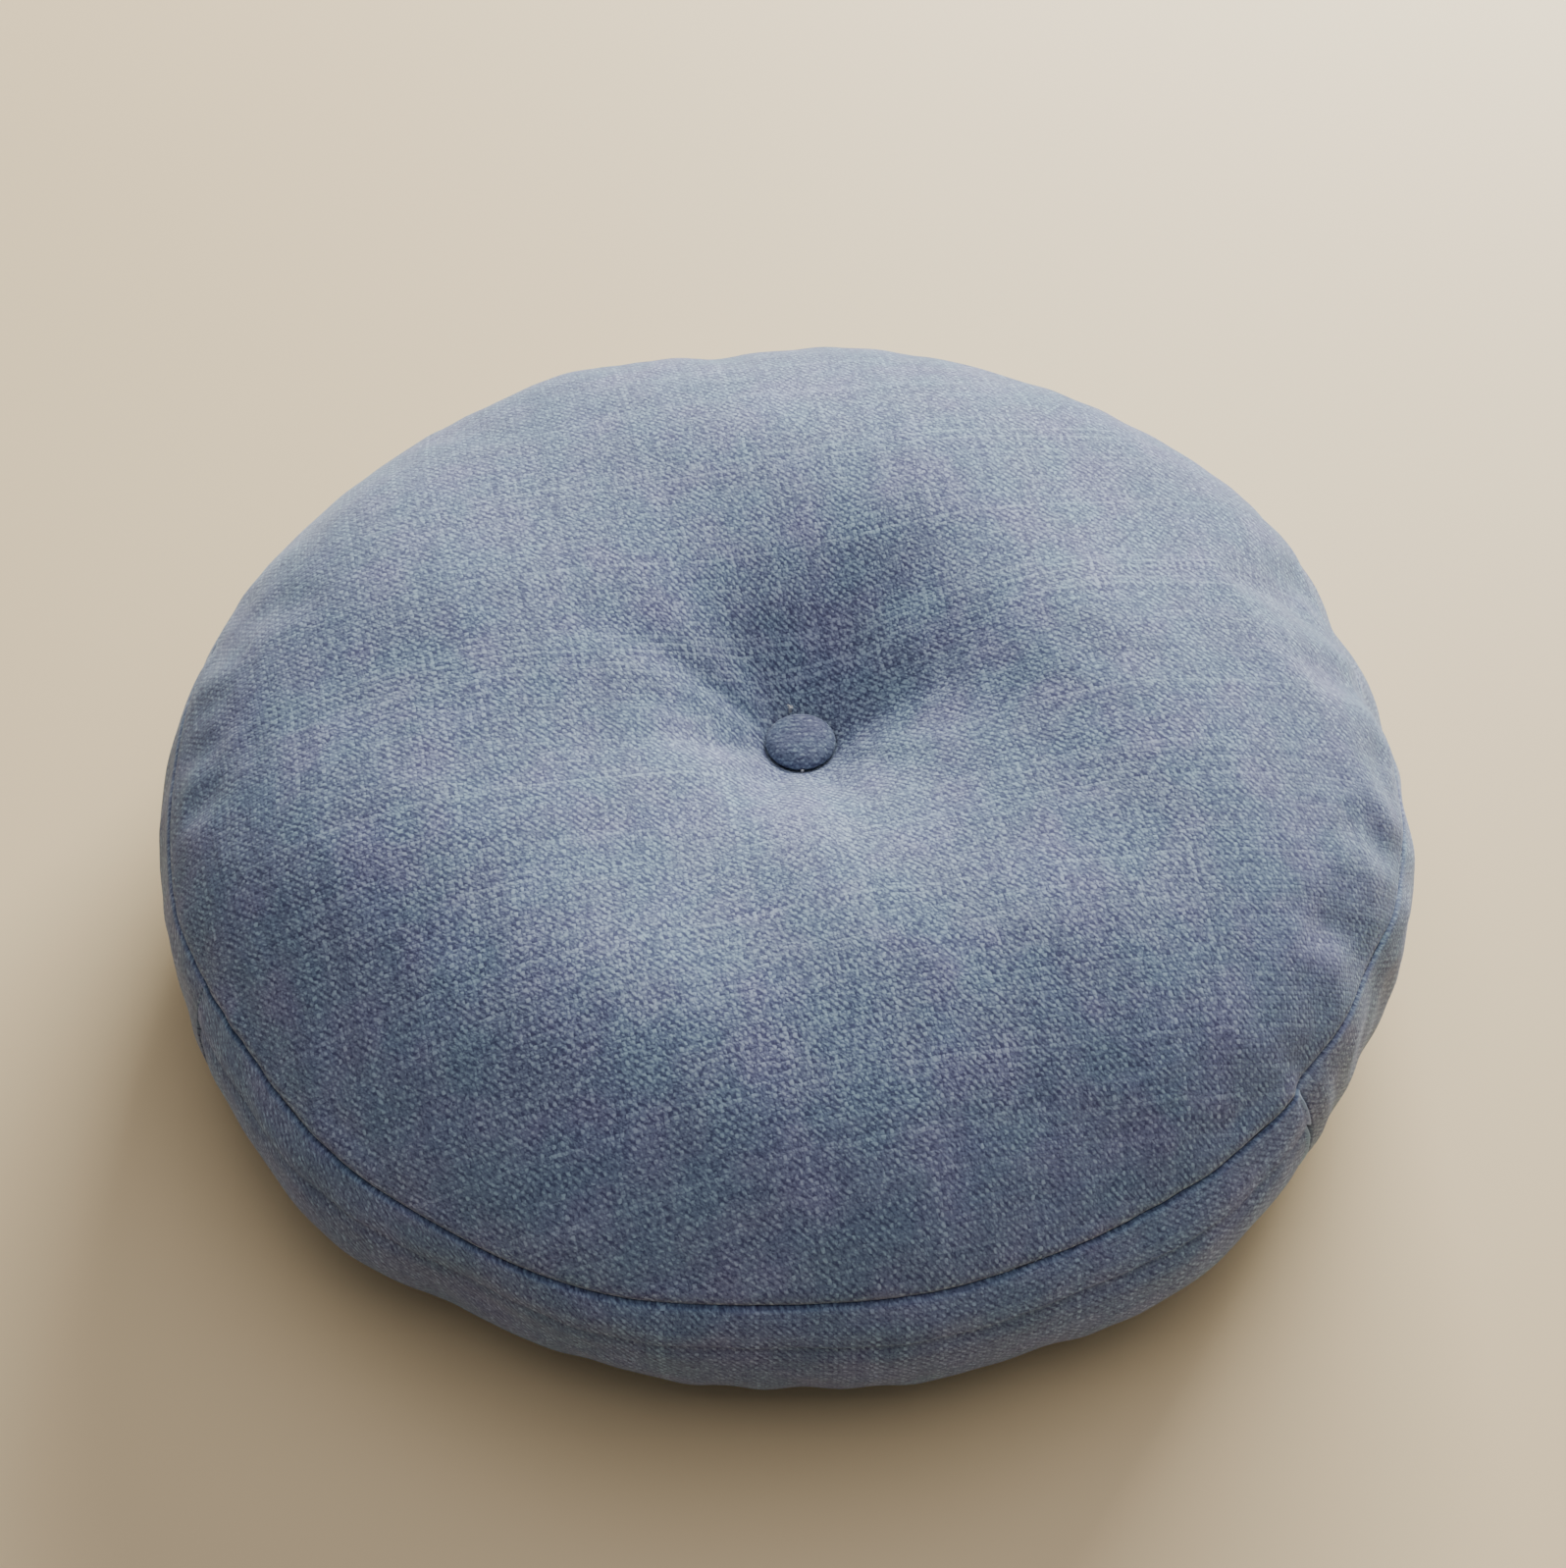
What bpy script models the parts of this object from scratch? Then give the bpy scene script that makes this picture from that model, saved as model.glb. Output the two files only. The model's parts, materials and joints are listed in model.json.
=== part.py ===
"""Round boxed floor cushion with a deep button tuft, +Z up, origin on the floor
under its centre. Woven cover of two round panels and a side band with a lapped
zip, a sewn casing around the filling, and two covered buttons pulled together
through the filling by one endless cord.
"""

import math

import bmesh
import bpy
from mathutils import Vector

MM = 0.001

# ---- driving dimensions, mm -------------------------------------------------
R_BULGE = 250.0  # widest radius of the side band
Z_BULGE = 64.0  # height of the widest line
R_TOP_SEAM, Z_TOP_SEAM = 243.0, 100.0
R_BOTTOM_SEAM, Z_BOTTOM_SEAM = 231.0, 18.0
Z_CROWN, R_CROWN = 152.0, 118.0  # ring where the top panel is highest
Z_TUFT = 116.0  # top panel's height under the button
Z_TUFT_LOW = 24.0  # bottom panel's height over the lower button
R_REST_IN, R_REST_OUT = 92.0, 206.0  # flat ring the cushion rests on
CLOTH = 1.0  # cover thickness
CASING = 0.8  # casing thickness
GAP = 0.3  # clearance between touching pieces
ALLOWANCE = 8.0  # seam allowance turned inwards
R_NEEDLE = 4.6  # opening in the panels for the button's loop
R_BORE = 6.0  # passage through the filling

JOIN_RIGHT, JOIN_LEFT = -38.0, -157.0  # azimuths of the band's two joins
LAP_Z = 79.5  # lower edge of the flap over the zip
ZIP_Z = 86.0  # centre line of the zip
ZIP_FROM, ZIP_TO = -43.0, -152.0  # azimuths of the zip's ends
SLIDER_AT = -46.0  # azimuth of the parked slider

R_BUTTON = 14.0
BUTTON_HIGH = 6.8

TURN = 36  # sides of a full turn
FINE = 3.0  # degrees to a side along the zip


# ---- scene ------------------------------------------------------------------
for old in list(bpy.data.objects):
    bpy.data.objects.remove(old, do_unlink=True)

parts = bpy.data.collections.new("floor_cushion")
cutters = bpy.data.collections.new("floor_cushion_cutters")
for c in (parts, cutters):
    bpy.context.scene.collection.children.link(c)


def material(name, color, roughness, metallic=0.0):
    m = bpy.data.materials.new(name)
    m.use_nodes = True
    p = m.node_tree.nodes["Principled BSDF"]
    p.inputs["Base Color"].default_value = (*color, 1.0)
    p.inputs["Roughness"].default_value = roughness
    p.inputs["Metallic"].default_value = metallic
    return m


COVER = (0.135, 0.185, 0.27)
CASING_WHITE = (0.78, 0.78, 0.76)
THREAD_BLUE = (0.06, 0.085, 0.14)
THREAD_WHITE = (0.82, 0.82, 0.80)
ZIP_BLUE = (0.09, 0.12, 0.19)
STEEL = (0.62, 0.62, 0.63)


def add(obj, color, roughness, metallic=0.0):
    """Puts a finished piece in the parts collection with its own material."""
    for c in list(obj.users_collection):
        c.objects.unlink(obj)
    parts.objects.link(obj)
    obj.data.materials.clear()
    obj.data.materials.append(material(obj.name, color, roughness, metallic))
    if obj.type == "MESH":
        obj.data.shade_smooth()
        obj.data.set_sharp_from_angle(angle=math.radians(50))
    return obj


def mesh_object(name, build):
    mesh = bpy.data.meshes.new(name)
    bm = bmesh.new()
    build(bm)
    bm.to_mesh(mesh)
    bm.free()
    obj = bpy.data.objects.new(name, mesh)
    parts.objects.link(obj)
    return obj


# ---- profiles ---------------------------------------------------------------
def band_radius(z):
    """Radius of the side band's outer face at height z."""
    if z > Z_BULGE:
        return R_BULGE - (R_BULGE - R_TOP_SEAM) * ((z - Z_BULGE) / (Z_TOP_SEAM - Z_BULGE)) ** 2
    return R_BULGE - (R_BULGE - R_BOTTOM_SEAM) * ((Z_BULGE - z) / (Z_BULGE - Z_BOTTOM_SEAM)) ** 2


def band_run(top, bottom, n, inset=0.0):
    return [
        (band_radius(z) - inset, z)
        for z in (top + (bottom - top) * i / n for i in range(n + 1))
    ]


def profile_mesh(name, profile, closed=False):
    """The (radius, height) line in the XZ plane at +X, in metres."""

    def build(bm):
        v = [bm.verts.new((r * MM, 0.0, z * MM)) for r, z in profile]
        for a, b in zip(v, v[1:] + (v[:1] if closed else [])):
            bm.edges.new((a, b))

    return mesh_object(name, build)


def turned(name, profile, degrees=360.0, start=0.0, steps=TURN, thick=None, closed=False):
    """A turned piece. thick makes an open profile a shell, grown inwards."""
    obj = profile_mesh(name, profile, closed)
    screw = obj.modifiers.new("turn", "SCREW")
    screw.axis = "Z"
    screw.angle = math.radians(degrees)
    screw.steps = screw.render_steps = steps
    screw.use_smooth_shade = True
    pole = any(r == 0 for r, z in profile)
    screw.use_merge_vertices = pole
    screw.merge_threshold = 0.00005
    if thick:
        shell = obj.modifiers.new("thickness", "SOLIDIFY")
        shell.thickness = thick * MM
        shell.offset = -1.0
        shell.use_even_offset = True
    obj.rotation_euler.z = math.radians(start)
    return obj


# ---- cover ------------------------------------------------------------------
top_line = [
    (R_NEEDLE, Z_TUFT),
    (R_BUTTON + 1.0, Z_TUFT + 0.6),
    (23.0, 122.0),
    (38.0, 134.0),
    (62.0, 145.4),
    (90.0, 151.0),
    (R_CROWN, Z_CROWN),
    (150.0, 149.6),
    (184.0, 140.6),
    (212.0, 127.0),
    (232.0, 112.6),
    (R_TOP_SEAM, Z_TOP_SEAM + 0.6),
]
top_flange = [(R_TOP_SEAM - ALLOWANCE, Z_TOP_SEAM + 1.4)]
add(
    turned("cover_top_panel", top_line + top_flange, thick=CLOTH),
    COVER,
    0.9,
)

bottom_line = [
    (R_BOTTOM_SEAM, Z_BOTTOM_SEAM - 0.6),
    (224.5, 7.4),
    (216.0, 2.0),
    (R_REST_OUT, 0.0),
    (R_REST_IN, 0.0),
    (72.0, 2.2),
    (48.0, 9.8),
    (27.0, 19.0),
    (R_BUTTON + 1.0, Z_TUFT_LOW - 0.5),
    (R_NEEDLE, Z_TUFT_LOW),
]
bottom_flange = [(R_BOTTOM_SEAM - ALLOWANCE, Z_BOTTOM_SEAM - 0.2)]
add(
    turned("cover_bottom_panel", bottom_flange + bottom_line, thick=CLOTH),
    COVER,
    0.92,
)

band_top, band_bottom = Z_TOP_SEAM - 0.8, Z_BOTTOM_SEAM + 1.4
join_gap = math.degrees(GAP / R_BULGE)
plain_turn = 360.0 - (JOIN_RIGHT - JOIN_LEFT) - join_gap
zip_turn = JOIN_RIGHT - JOIN_LEFT - join_gap
upper_flange = [(R_TOP_SEAM - ALLOWANCE, Z_TOP_SEAM - 0.8)]
lower_flange = [(R_BOTTOM_SEAM - ALLOWANCE, Z_BOTTOM_SEAM + 1.4)]
add(
    turned(
        "side_band",
        upper_flange + band_run(band_top, band_bottom, 7) + lower_flange,
        plain_turn,
        JOIN_RIGHT + join_gap / 2,
        27,
        CLOTH,
    ),
    COVER,
    0.9,
)

# the upper strip's lower edge is hemmed and laps over the zip
lap = band_run(band_top, LAP_Z + 1.0, 3)
r_lap = band_radius(LAP_Z)
hem = [
    (r_lap - 0.35, LAP_Z + 0.3),
    (r_lap - 1.25, LAP_Z),
    (r_lap - 2.15, LAP_Z + 0.3),
    (r_lap - 2.5, LAP_Z + 1.0),
    (r_lap - 2.6, LAP_Z + 2.6),
]
add(
    turned(
        "zip_band_upper",
        upper_flange + lap + hem,
        zip_turn,
        JOIN_LEFT + join_gap / 2,
        14,
        0.8,
    ),
    COVER,
    0.9,
)

# the lower strip comes out from under the lap; its top edge is turned in and
# down beside the lower tape
R_TAPE = 238.0  # outer face of the zip tapes
turned_in = [
    (R_TAPE + GAP + CLOTH + 0.2, 75.0),
    (R_TAPE + GAP + CLOTH + 0.2, 79.6),
    (R_TAPE + 3.6, 80.9),
    (r_lap - 5.4, 80.6),
    (r_lap - 4.2, 78.6),
    (r_lap - 1.8, 75.2),
]
add(
    turned(
        "zip_band_lower",
        turned_in + band_run(71.0, band_bottom, 5) + lower_flange,
        zip_turn,
        JOIN_LEFT + join_gap / 2,
        14,
        CLOTH,
    ),
    COVER,
    0.9,
)


# ---- seam threads -----------------------------------------------------------
def ring(name, radius, z, wire):
    bpy.ops.mesh.primitive_torus_add(
        major_segments=TURN,
        minor_segments=4,
        major_radius=radius * MM,
        minor_radius=wire * MM,
        location=(0, 0, z * MM),
    )
    obj = bpy.context.object
    obj.name = obj.data.name = name
    return obj


add(ring("top_seam_thread", R_TOP_SEAM - 2.6, Z_TOP_SEAM + 0.05, 0.3), THREAD_BLUE, 0.7)
add(
    ring("bottom_seam_thread", R_BOTTOM_SEAM - 2.6, Z_BOTTOM_SEAM + 0.55, 0.3),
    THREAD_BLUE,
    0.7,
)


def wire(name, points, radius, cyclic=False, resolution=1):
    """A wire, cord or thread through the points, mm."""
    curve = bpy.data.curves.new(name, "CURVE")
    curve.dimensions = "3D"
    curve.bevel_depth = radius * MM
    curve.bevel_resolution = resolution
    curve.use_fill_caps = True
    line = curve.splines.new("POLY")
    line.points.add(len(points) - 1)
    for p, q in zip(line.points, points):
        p.co = (*(c * MM for c in q), 1.0)
    line.use_cyclic_u = cyclic
    obj = bpy.data.objects.new(name, curve)
    parts.objects.link(obj)
    return obj


def at(radius, degrees, z):
    a = math.radians(degrees)
    return (radius * math.cos(a), radius * math.sin(a), z)


for side, azimuth in (("right", JOIN_RIGHT), ("left", JOIN_LEFT)):
    line = [
        at(band_radius(z) - CLOTH - 1.6, azimuth, z)
        for z in (25.0 + (64.0 - 25.0) * i / 6 for i in range(7))
    ]
    add(wire(f"{side}_join_thread", line, 0.35), THREAD_BLUE, 0.7)


# ---- casing and filling -----------------------------------------------------
def offset_line(line, by):
    """The line moved by that much to its right-hand side, which is inwards."""
    out = []
    for i, p in enumerate(line):
        a, b = Vector(line[max(i - 1, 0)]), Vector(line[min(i + 1, len(line) - 1)])
        d = (b - a).normalized()
        out.append((p[0] - by * -d.y, p[1] - by * d.x))
    return out


casing_top = [
    (R_BORE + 2.0, Z_TUFT - 2.2),
    (18.0, Z_TUFT - 1.4),
    (39.0, 131.0),
    (63.5, 142.4),
    (R_CROWN, Z_CROWN - 2.8),
    (149.0, 146.4),
    (200.0, 129.6),
    (226.0, 110.0),
    (231.6, 94.0),
    (232.6, 80.0),
]
casing_low = [
    (R_BULGE - 8.0, 59.4),
    (R_BULGE - 10.0, 42.0),
    (220.5, 21.0),
    (213.5, 9.6),
    (200.0, 2.6),
    (92.0, 2.6),
    (50.0, 12.2),
    (27.0, 22.0),
    (R_BORE + 2.0, Z_TUFT_LOW + 2.4),
]
add(
    turned(
        "inner_casing_upper",
        casing_top + [(R_BULGE - 8.0, 60.0)],
        thick=CASING,
    ),
    CASING_WHITE,
    0.85,
)
add(
    turned("inner_casing_lower", casing_low, thick=CASING),
    CASING_WHITE,
    0.85,
)
room = CASING + GAP + 0.3
fill = (
    [(R_BORE, Z_TUFT - 8.0)]
    + offset_line(casing_top[1:], room)
    + offset_line(casing_low[:-1], room)
    + [(R_BORE, Z_TUFT_LOW + 8.0)]
)
add(turned("filling_pad", fill, closed=True), CASING_WHITE, 0.95)


# ---- tufting cord and buttons -----------------------------------------------
def button(prefix, seat, up):
    """A covered button: seat is the panel's face, up is 1 or -1."""

    def z(h):
        return seat + up * h

    def line(points):
        p = [(r, z(h)) for r, h in points]
        return p if up > 0 else p[::-1]

    dome = [
        (0.0, BUTTON_HIGH),
        (5.0, 6.4),
        (9.6, 5.2),
        (12.9, 3.4),
        (R_BUTTON, 1.8),
        (13.2, 0.7),
        (11.0, 0.4),
    ]
    pieces = [
        add(
            turned(f"{prefix}_cover", line(dome), steps=20, thick=0.6),
            COVER,
            0.88,
        )
    ]
    shell = [
        (0.0, 5.8),
        (5.0, 5.35),
        (9.2, 4.2),
        (11.9, 2.7),
        (12.2, 1.6),
    ]
    pieces.append(
        add(
            turned(f"{prefix}_shell", line(shell), steps=20, thick=0.4),
            STEEL,
            0.35,
            1.0,
        )
    )
    plate = [(2.9, 2.3), (11.3, 2.3), (11.3, 1.5), (2.9, 1.5)]
    pieces.append(
        add(
            turned(f"{prefix}_back_plate", line(plate), steps=20, closed=True),
            STEEL,
            0.4,
            1.0,
        )
    )
    reach, half = 4.4, 2.0
    u = [(0.0, -half, 3.2), (0.0, -half, -reach + half)]
    u += [
        (0.0, -half * math.cos(a), -reach + half - half * math.sin(a))
        for a in (math.pi * i / 6 for i in range(1, 6))
    ]
    u += [(0.0, half, -reach + half), (0.0, half, 3.2)]
    pieces.append(
        add(
            wire(f"{prefix}_loop", [(x, y, z(h)) for x, y, h in u], 0.45),
            STEEL,
            0.3,
            1.0,
        )
    )
    for p in pieces[1:]:
        p.parent = pieces[0]
    return z(-reach)


high = button("top_button", Z_TUFT, 1)
low = button("bottom_button", Z_TUFT_LOW, -1)

# one endless cord, linked through both loops
half = 1.35
cord = [
    (half * math.cos(a), 0.0, high + 0.2 + half * math.sin(a))
    for a in (math.pi * i / 6 for i in range(7))
] + [
    (-half * math.cos(a), 0.0, low - 0.2 - half * math.sin(a))
    for a in (math.pi * i / 6 for i in range(7))
]
add(wire("tufting_cord", cord, 0.45, cyclic=True), THREAD_WHITE, 0.7)

# the cord's tied end shows as a short white tail behind the top button
tail_r = 0.45


def panel_height(radius):
    """Height of the top panel's outer face at this radius."""
    for (ra, za), (rb, zb) in zip(top_line, top_line[1:]):
        if ra <= radius <= rb:
            return za + (zb - za) * (radius - ra) / (rb - ra)
    return Z_TUFT


tail = [
    at(r, 98.0 + 3.0 * i, panel_height(r) + tail_r + 0.5 + 0.8 * math.sin(math.pi * i / 4))
    for i, r in enumerate(R_BUTTON + 1.6 + 0.8 * i for i in range(5))
]
add(wire("tufting_cord_end", tail, tail_r), THREAD_WHITE, 0.7)


# ---- zip --------------------------------------------------------------------
zip_start, zip_len = ZIP_TO, ZIP_FROM - ZIP_TO
zip_steps = round(zip_len / FINE)


def arc_strip(name, radius, z_high, z_low, thick, start=zip_start, turn=zip_len):
    return turned(
        name,
        [(radius, z_high), (radius, z_low)],
        turn,
        start,
        max(1, round(turn / FINE)),
        thick,
    )


add(arc_strip("zip_tape_upper", R_TAPE, 97.4, ZIP_Z + 0.8, 0.6), ZIP_BLUE, 0.8)
add(arc_strip("zip_tape_lower", R_TAPE, ZIP_Z - 0.8, 74.6, 0.6), ZIP_BLUE, 0.8)
R_COIL = R_TAPE + GAP + 1.4
stop_turn = 1.0
coil_from, coil_turn = zip_start + stop_turn + 0.3, zip_len - 2 * stop_turn - 0.6
add(
    arc_strip("zip_coil_upper", R_COIL, ZIP_Z + 2.4, ZIP_Z + 0.8, 1.4, coil_from, coil_turn),
    ZIP_BLUE,
    0.45,
)
add(
    arc_strip("zip_coil_lower", R_COIL, ZIP_Z - 0.8, ZIP_Z - 2.4, 1.4, coil_from, coil_turn),
    ZIP_BLUE,
    0.45,
)
for side, start in (("left", zip_start), ("right", ZIP_FROM - stop_turn)):
    add(
        turned(
            f"zip_stop_{side}",
            [(R_COIL + 0.4, ZIP_Z + 2.8), (R_COIL + 0.4, ZIP_Z - 2.8)],
            stop_turn,
            start,
            1,
            1.8,
        ),
        STEEL,
        0.35,
        1.0,
    )


def block(name, low, high, where):
    """A box between two corners, mm."""

    def build(bm):
        bmesh.ops.create_cube(bm, size=1.0)
        for v in bm.verts:
            v.co = Vector(
                (a + (b - a) * (c + 0.5)) * MM for a, b, c in zip(low, high, v.co)
            )

    obj = mesh_object(name, build)
    if where is not parts:
        parts.objects.unlink(obj)
        where.objects.link(obj)
        obj.hide_render = True
        obj.display_type = "WIRE"
    return obj


def boolean(obj, tool, operation):
    m = obj.modifiers.new(operation.lower(), "BOOLEAN")
    m.operation = operation
    m.object = tool
    m.solver = "EXACT"


R_FRONT = R_COIL + 0.5  # inner face of the slider's front wing
slider = block(
    "zip_slider", (R_FRONT, -4.5, ZIP_Z - 3.9), (R_FRONT + 1.0, 4.5, ZIP_Z + 3.9), parts
)
back_wing = block(
    "slider_back_wing",
    (R_TAPE - 2.4, -4.5, ZIP_Z - 3.9),
    (R_TAPE - 1.2, 4.5, ZIP_Z + 3.9),
    cutters,
)
post = block(
    "slider_post",
    (R_TAPE - 1.8, 1.0, ZIP_Z - 0.45),
    (R_FRONT + 0.5, 4.0, ZIP_Z + 0.45),
    cutters,
)
bail = block(
    "slider_bail",
    (R_FRONT + 0.5, -3.2, ZIP_Z - 0.8),
    (R_FRONT + 3.5, 3.2, ZIP_Z + 0.8),
    cutters,
)
window = block(
    "slider_window",
    (R_FRONT + 1.0, -2.3, ZIP_Z - 1.5),
    (R_FRONT + 2.8, 2.3, ZIP_Z + 1.5),
    cutters,
)
for tool, what in (
    (back_wing, "UNION"),
    (post, "UNION"),
    (bail, "UNION"),
    (window, "DIFFERENCE"),
):
    boolean(slider, tool, what)
add(slider, STEEL, 0.35, 1.0)

R_PULL = R_FRONT + 1.45  # inner face of the pull tab
PIVOT_Y = -1.3
pull_low, pull_high = (0.0, -15.0, -2.6), (0.9, -0.7, 2.6)
pivot_r = R_PULL + 0.45


def pull_box(name, low, high, where):
    """A box measured from the pull tab's pivot."""
    return block(
        name,
        (low[0] - 0.45, low[1] - PIVOT_Y, low[2]),
        (high[0] - 0.45, high[1] - PIVOT_Y, high[2]),
        where,
    )


pull = pull_box("zip_pull_tab", pull_low, pull_high, parts)
slot = pull_box("pull_slot", (-1.0, -5.6, -1.3), (2.0, -1.9, 1.3), cutters)
boolean(pull, slot, "DIFFERENCE")
add(pull, STEEL, 0.35, 1.0)

# the slider turns about the cushion's axis, as it follows the band; the pull
# tab swings on the slider about an upright pin line
hub = bpy.data.objects.new("zip_travel_axis", None)
parts.objects.link(hub)
hub.rotation_euler.z = math.radians(SLIDER_AT)
slider.parent = hub
for tool in (back_wing, post, bail, window):
    tool.parent = hub
pivot = bpy.data.objects.new("pull_tab_axis", None)
parts.objects.link(pivot)
pivot.parent = hub
pivot.location = (pivot_r * MM, PIVOT_Y * MM, ZIP_Z * MM)
pull.parent = pivot
slot.parent = pivot
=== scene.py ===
"""Finished look of the round floor cushion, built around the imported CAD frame."""

import json
import math

import bpy
import numpy as np
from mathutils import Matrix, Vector

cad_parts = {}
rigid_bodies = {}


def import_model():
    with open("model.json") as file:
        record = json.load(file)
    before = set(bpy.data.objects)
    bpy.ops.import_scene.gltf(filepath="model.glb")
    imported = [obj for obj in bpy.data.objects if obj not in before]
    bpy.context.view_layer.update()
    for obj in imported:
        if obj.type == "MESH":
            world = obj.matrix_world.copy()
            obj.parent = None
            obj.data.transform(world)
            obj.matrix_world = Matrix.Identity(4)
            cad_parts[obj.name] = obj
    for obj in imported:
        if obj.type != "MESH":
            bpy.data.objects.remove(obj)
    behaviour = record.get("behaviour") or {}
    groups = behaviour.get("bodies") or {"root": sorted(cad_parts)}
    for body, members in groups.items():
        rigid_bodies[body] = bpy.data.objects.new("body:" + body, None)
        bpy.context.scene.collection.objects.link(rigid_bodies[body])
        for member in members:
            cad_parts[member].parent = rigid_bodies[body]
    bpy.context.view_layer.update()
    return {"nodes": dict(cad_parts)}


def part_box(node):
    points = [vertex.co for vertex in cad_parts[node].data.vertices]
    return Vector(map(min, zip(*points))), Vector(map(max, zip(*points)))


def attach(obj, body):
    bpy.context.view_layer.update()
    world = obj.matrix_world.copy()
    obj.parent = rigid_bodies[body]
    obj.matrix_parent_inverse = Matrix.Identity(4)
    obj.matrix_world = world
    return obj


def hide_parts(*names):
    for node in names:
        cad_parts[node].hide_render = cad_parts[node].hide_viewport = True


for _o in list(bpy.data.objects):
    bpy.data.objects.remove(_o, do_unlink=True)

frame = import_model()
MM = 0.001

# ---- sizes read from the frame ----------------------------------------------
_lo, _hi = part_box("cover_top_panel")
R_SEAM = (_hi.x - _lo.x) / 2  # top seam radius
Z_CROWN = _hi.z
_lo, _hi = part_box("side_band")
R_BULGE = _hi.y
Z_SEAM = _hi.z + 0.0008
Z_LOW_SEAM = _lo.z - 0.0014
_lo, _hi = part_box("cover_bottom_panel")
R_LOW_SEAM = (_hi.x - _lo.x) / 2
_lo, _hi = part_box("zip_band_upper")
Z_LAP = _lo.z  # lower edge of the flap over the zip
_blo, _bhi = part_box("top_button_cover")
R_BUTTON = (_bhi.x - _blo.x) / 2
JOIN_R, JOIN_L = math.radians(-40.0), math.radians(-156.0)
PITCH_WARP, PITCH_WEFT = 0.00168, 0.00182  # thread spacing of the cover cloth
GRAIN = math.radians(11.0)  # the top panel's weave is turned this far


# ---- small numeric tools ----------------------------------------------------
def catmull(points, each=24):
    p = np.array(points, float)
    p = np.vstack([2 * p[0] - p[1], p, 2 * p[-1] - p[-2]])
    t = np.linspace(0, 1, each, endpoint=False)[:, None]
    out = []
    for a, b, c, d in zip(p, p[1:], p[2:], p[3:]):
        out.append(
            0.5
            * (
                2 * b
                + (c - a) * t
                + (2 * a - 5 * b + 4 * c - d) * t**2
                + (3 * b - a - 3 * c + d) * t**3
            )
        )
    return np.vstack(out + [p[-2][None]])


def arc(line):
    return np.concatenate([[0], np.cumsum(np.hypot(*np.diff(line, axis=0).T))])


def hump(x, centre, width):
    return np.exp(-(((x - centre) / width) ** 2))


def smoothstep(a, b, x):
    t = np.clip((x - a) / (b - a), 0, 1)
    return t * t * (3 - 2 * t)


def turn(a):
    """An angle brought into -pi..pi."""
    return (np.asarray(a) + math.pi) % (2 * math.pi) - math.pi


def ripple(seed, orders, power=0.0):
    """A periodic function of azimuth from seeded random waves of these orders, about 1 in size."""
    rng = np.random.default_rng(seed)
    orders = np.arange(*orders)
    size = orders.astype(float) ** -power
    size /= math.sqrt((size**2).sum() / 2)
    phase = rng.uniform(0, 2 * math.pi, len(orders))

    def f(phi):
        phi = np.asarray(phi)[..., None]
        return (size * np.sin(orders * phi + phase)).sum(-1)

    return f


def field(seed, wave, count=26):
    """A smooth random field over x, y, z, about 1 in size, of about this wavelength in metres."""
    rng = np.random.default_rng(seed)
    k = rng.normal(size=(count, 3))
    k /= np.linalg.norm(k, axis=1, keepdims=True)
    k *= 2 * math.pi / (wave * rng.uniform(0.7, 1.5, (count, 1)))
    ph = rng.uniform(0, 2 * math.pi, count)

    def f(p):
        return np.sin(p @ k.T + ph).sum(-1) * math.sqrt(2 / count)

    return f


# ---- the cushion's outer surface --------------------------------------------
# one profile from the top's middle, over the crown, down the band and in along
# the underside; mm, radius then height
R0, ZS, RB, RL, ZL = (v / MM for v in (R_SEAM, Z_SEAM, R_BULGE, R_LOW_SEAM, Z_LOW_SEAM))
ZC = Z_CROWN / MM
PROFILE = catmull(
    [
        (0.0, 114.9),
        (8.0, 114.9),
        (12.9, 115.3),
        (14.9, 117.4),
        (20.0, 120.9),
        (28.0, 126.0),
        (40.0, 133.5),
        (58.0, 142.6),
        (85.0, 149.8),
        (116.0, ZC + 0.2),
        (150.0, 150.0),
        (184.0, 142.4),
        (210.0, 131.2),
        (227.0, 119.4),
        (237.5, 108.6),
        (R0 - 0.2, ZS + 0.6),
        (R0 + 3.3, ZS - 8.0),
        (248.9, 82.0),
        (RB + 0.4, 66.0),
        (248.6, 50.0),
        (243.0, 34.0),
        (RL + 2.6, ZL + 3.0),
        (RL - 3.5, 10.5),
        (219.0, 3.0),
        (207.0, 0.0),
        (150.0, 0.0),
        (92.0, 0.0),
        (76.0, 1.4),
        (58.0, 6.6),
        (40.0, 14.0),
        (26.0, 19.6),
        (15.0, 23.4),
        (7.0, 24.6),
        (0.0, 24.8),
    ]
)
PROFILE[:, 1] = np.maximum(PROFILE[:, 1], 0.0)
PROFILE *= MM
S = arc(PROFILE)
_tan = np.gradient(PROFILE, S, axis=0)
_tan /= np.linalg.norm(_tan, axis=1, keepdims=True)
NORMAL = np.stack([-_tan[:, 1], _tan[:, 0]], 1)  # outward, as (radial, up)
S_END = S[-1]


def s_where(radius, height):
    """Arc distance of the profile's nearest point."""
    return S[np.argmin(np.hypot(PROFILE[:, 0] - radius, PROFILE[:, 1] - height))]


S_SEAM = s_where(R_SEAM, Z_SEAM)
S_LOW = s_where(R_LOW_SEAM, Z_LOW_SEAM)
S_LAP = s_where(R_BULGE, Z_LAP)
S_REST = s_where(0.207, 0.0)

pucker = ripple(11, (34, 120), 0.25)
pucker_slow = ripple(12, (9, 34), 0.3)
pucker_where = ripple(13, (2, 9))
low_pucker = ripple(21, (30, 90), 0.2)
band_slow = ripple(22, (5, 16), 0.4)
lump_a, lump_b = field(31, 0.16), field(32, 0.07)


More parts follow.
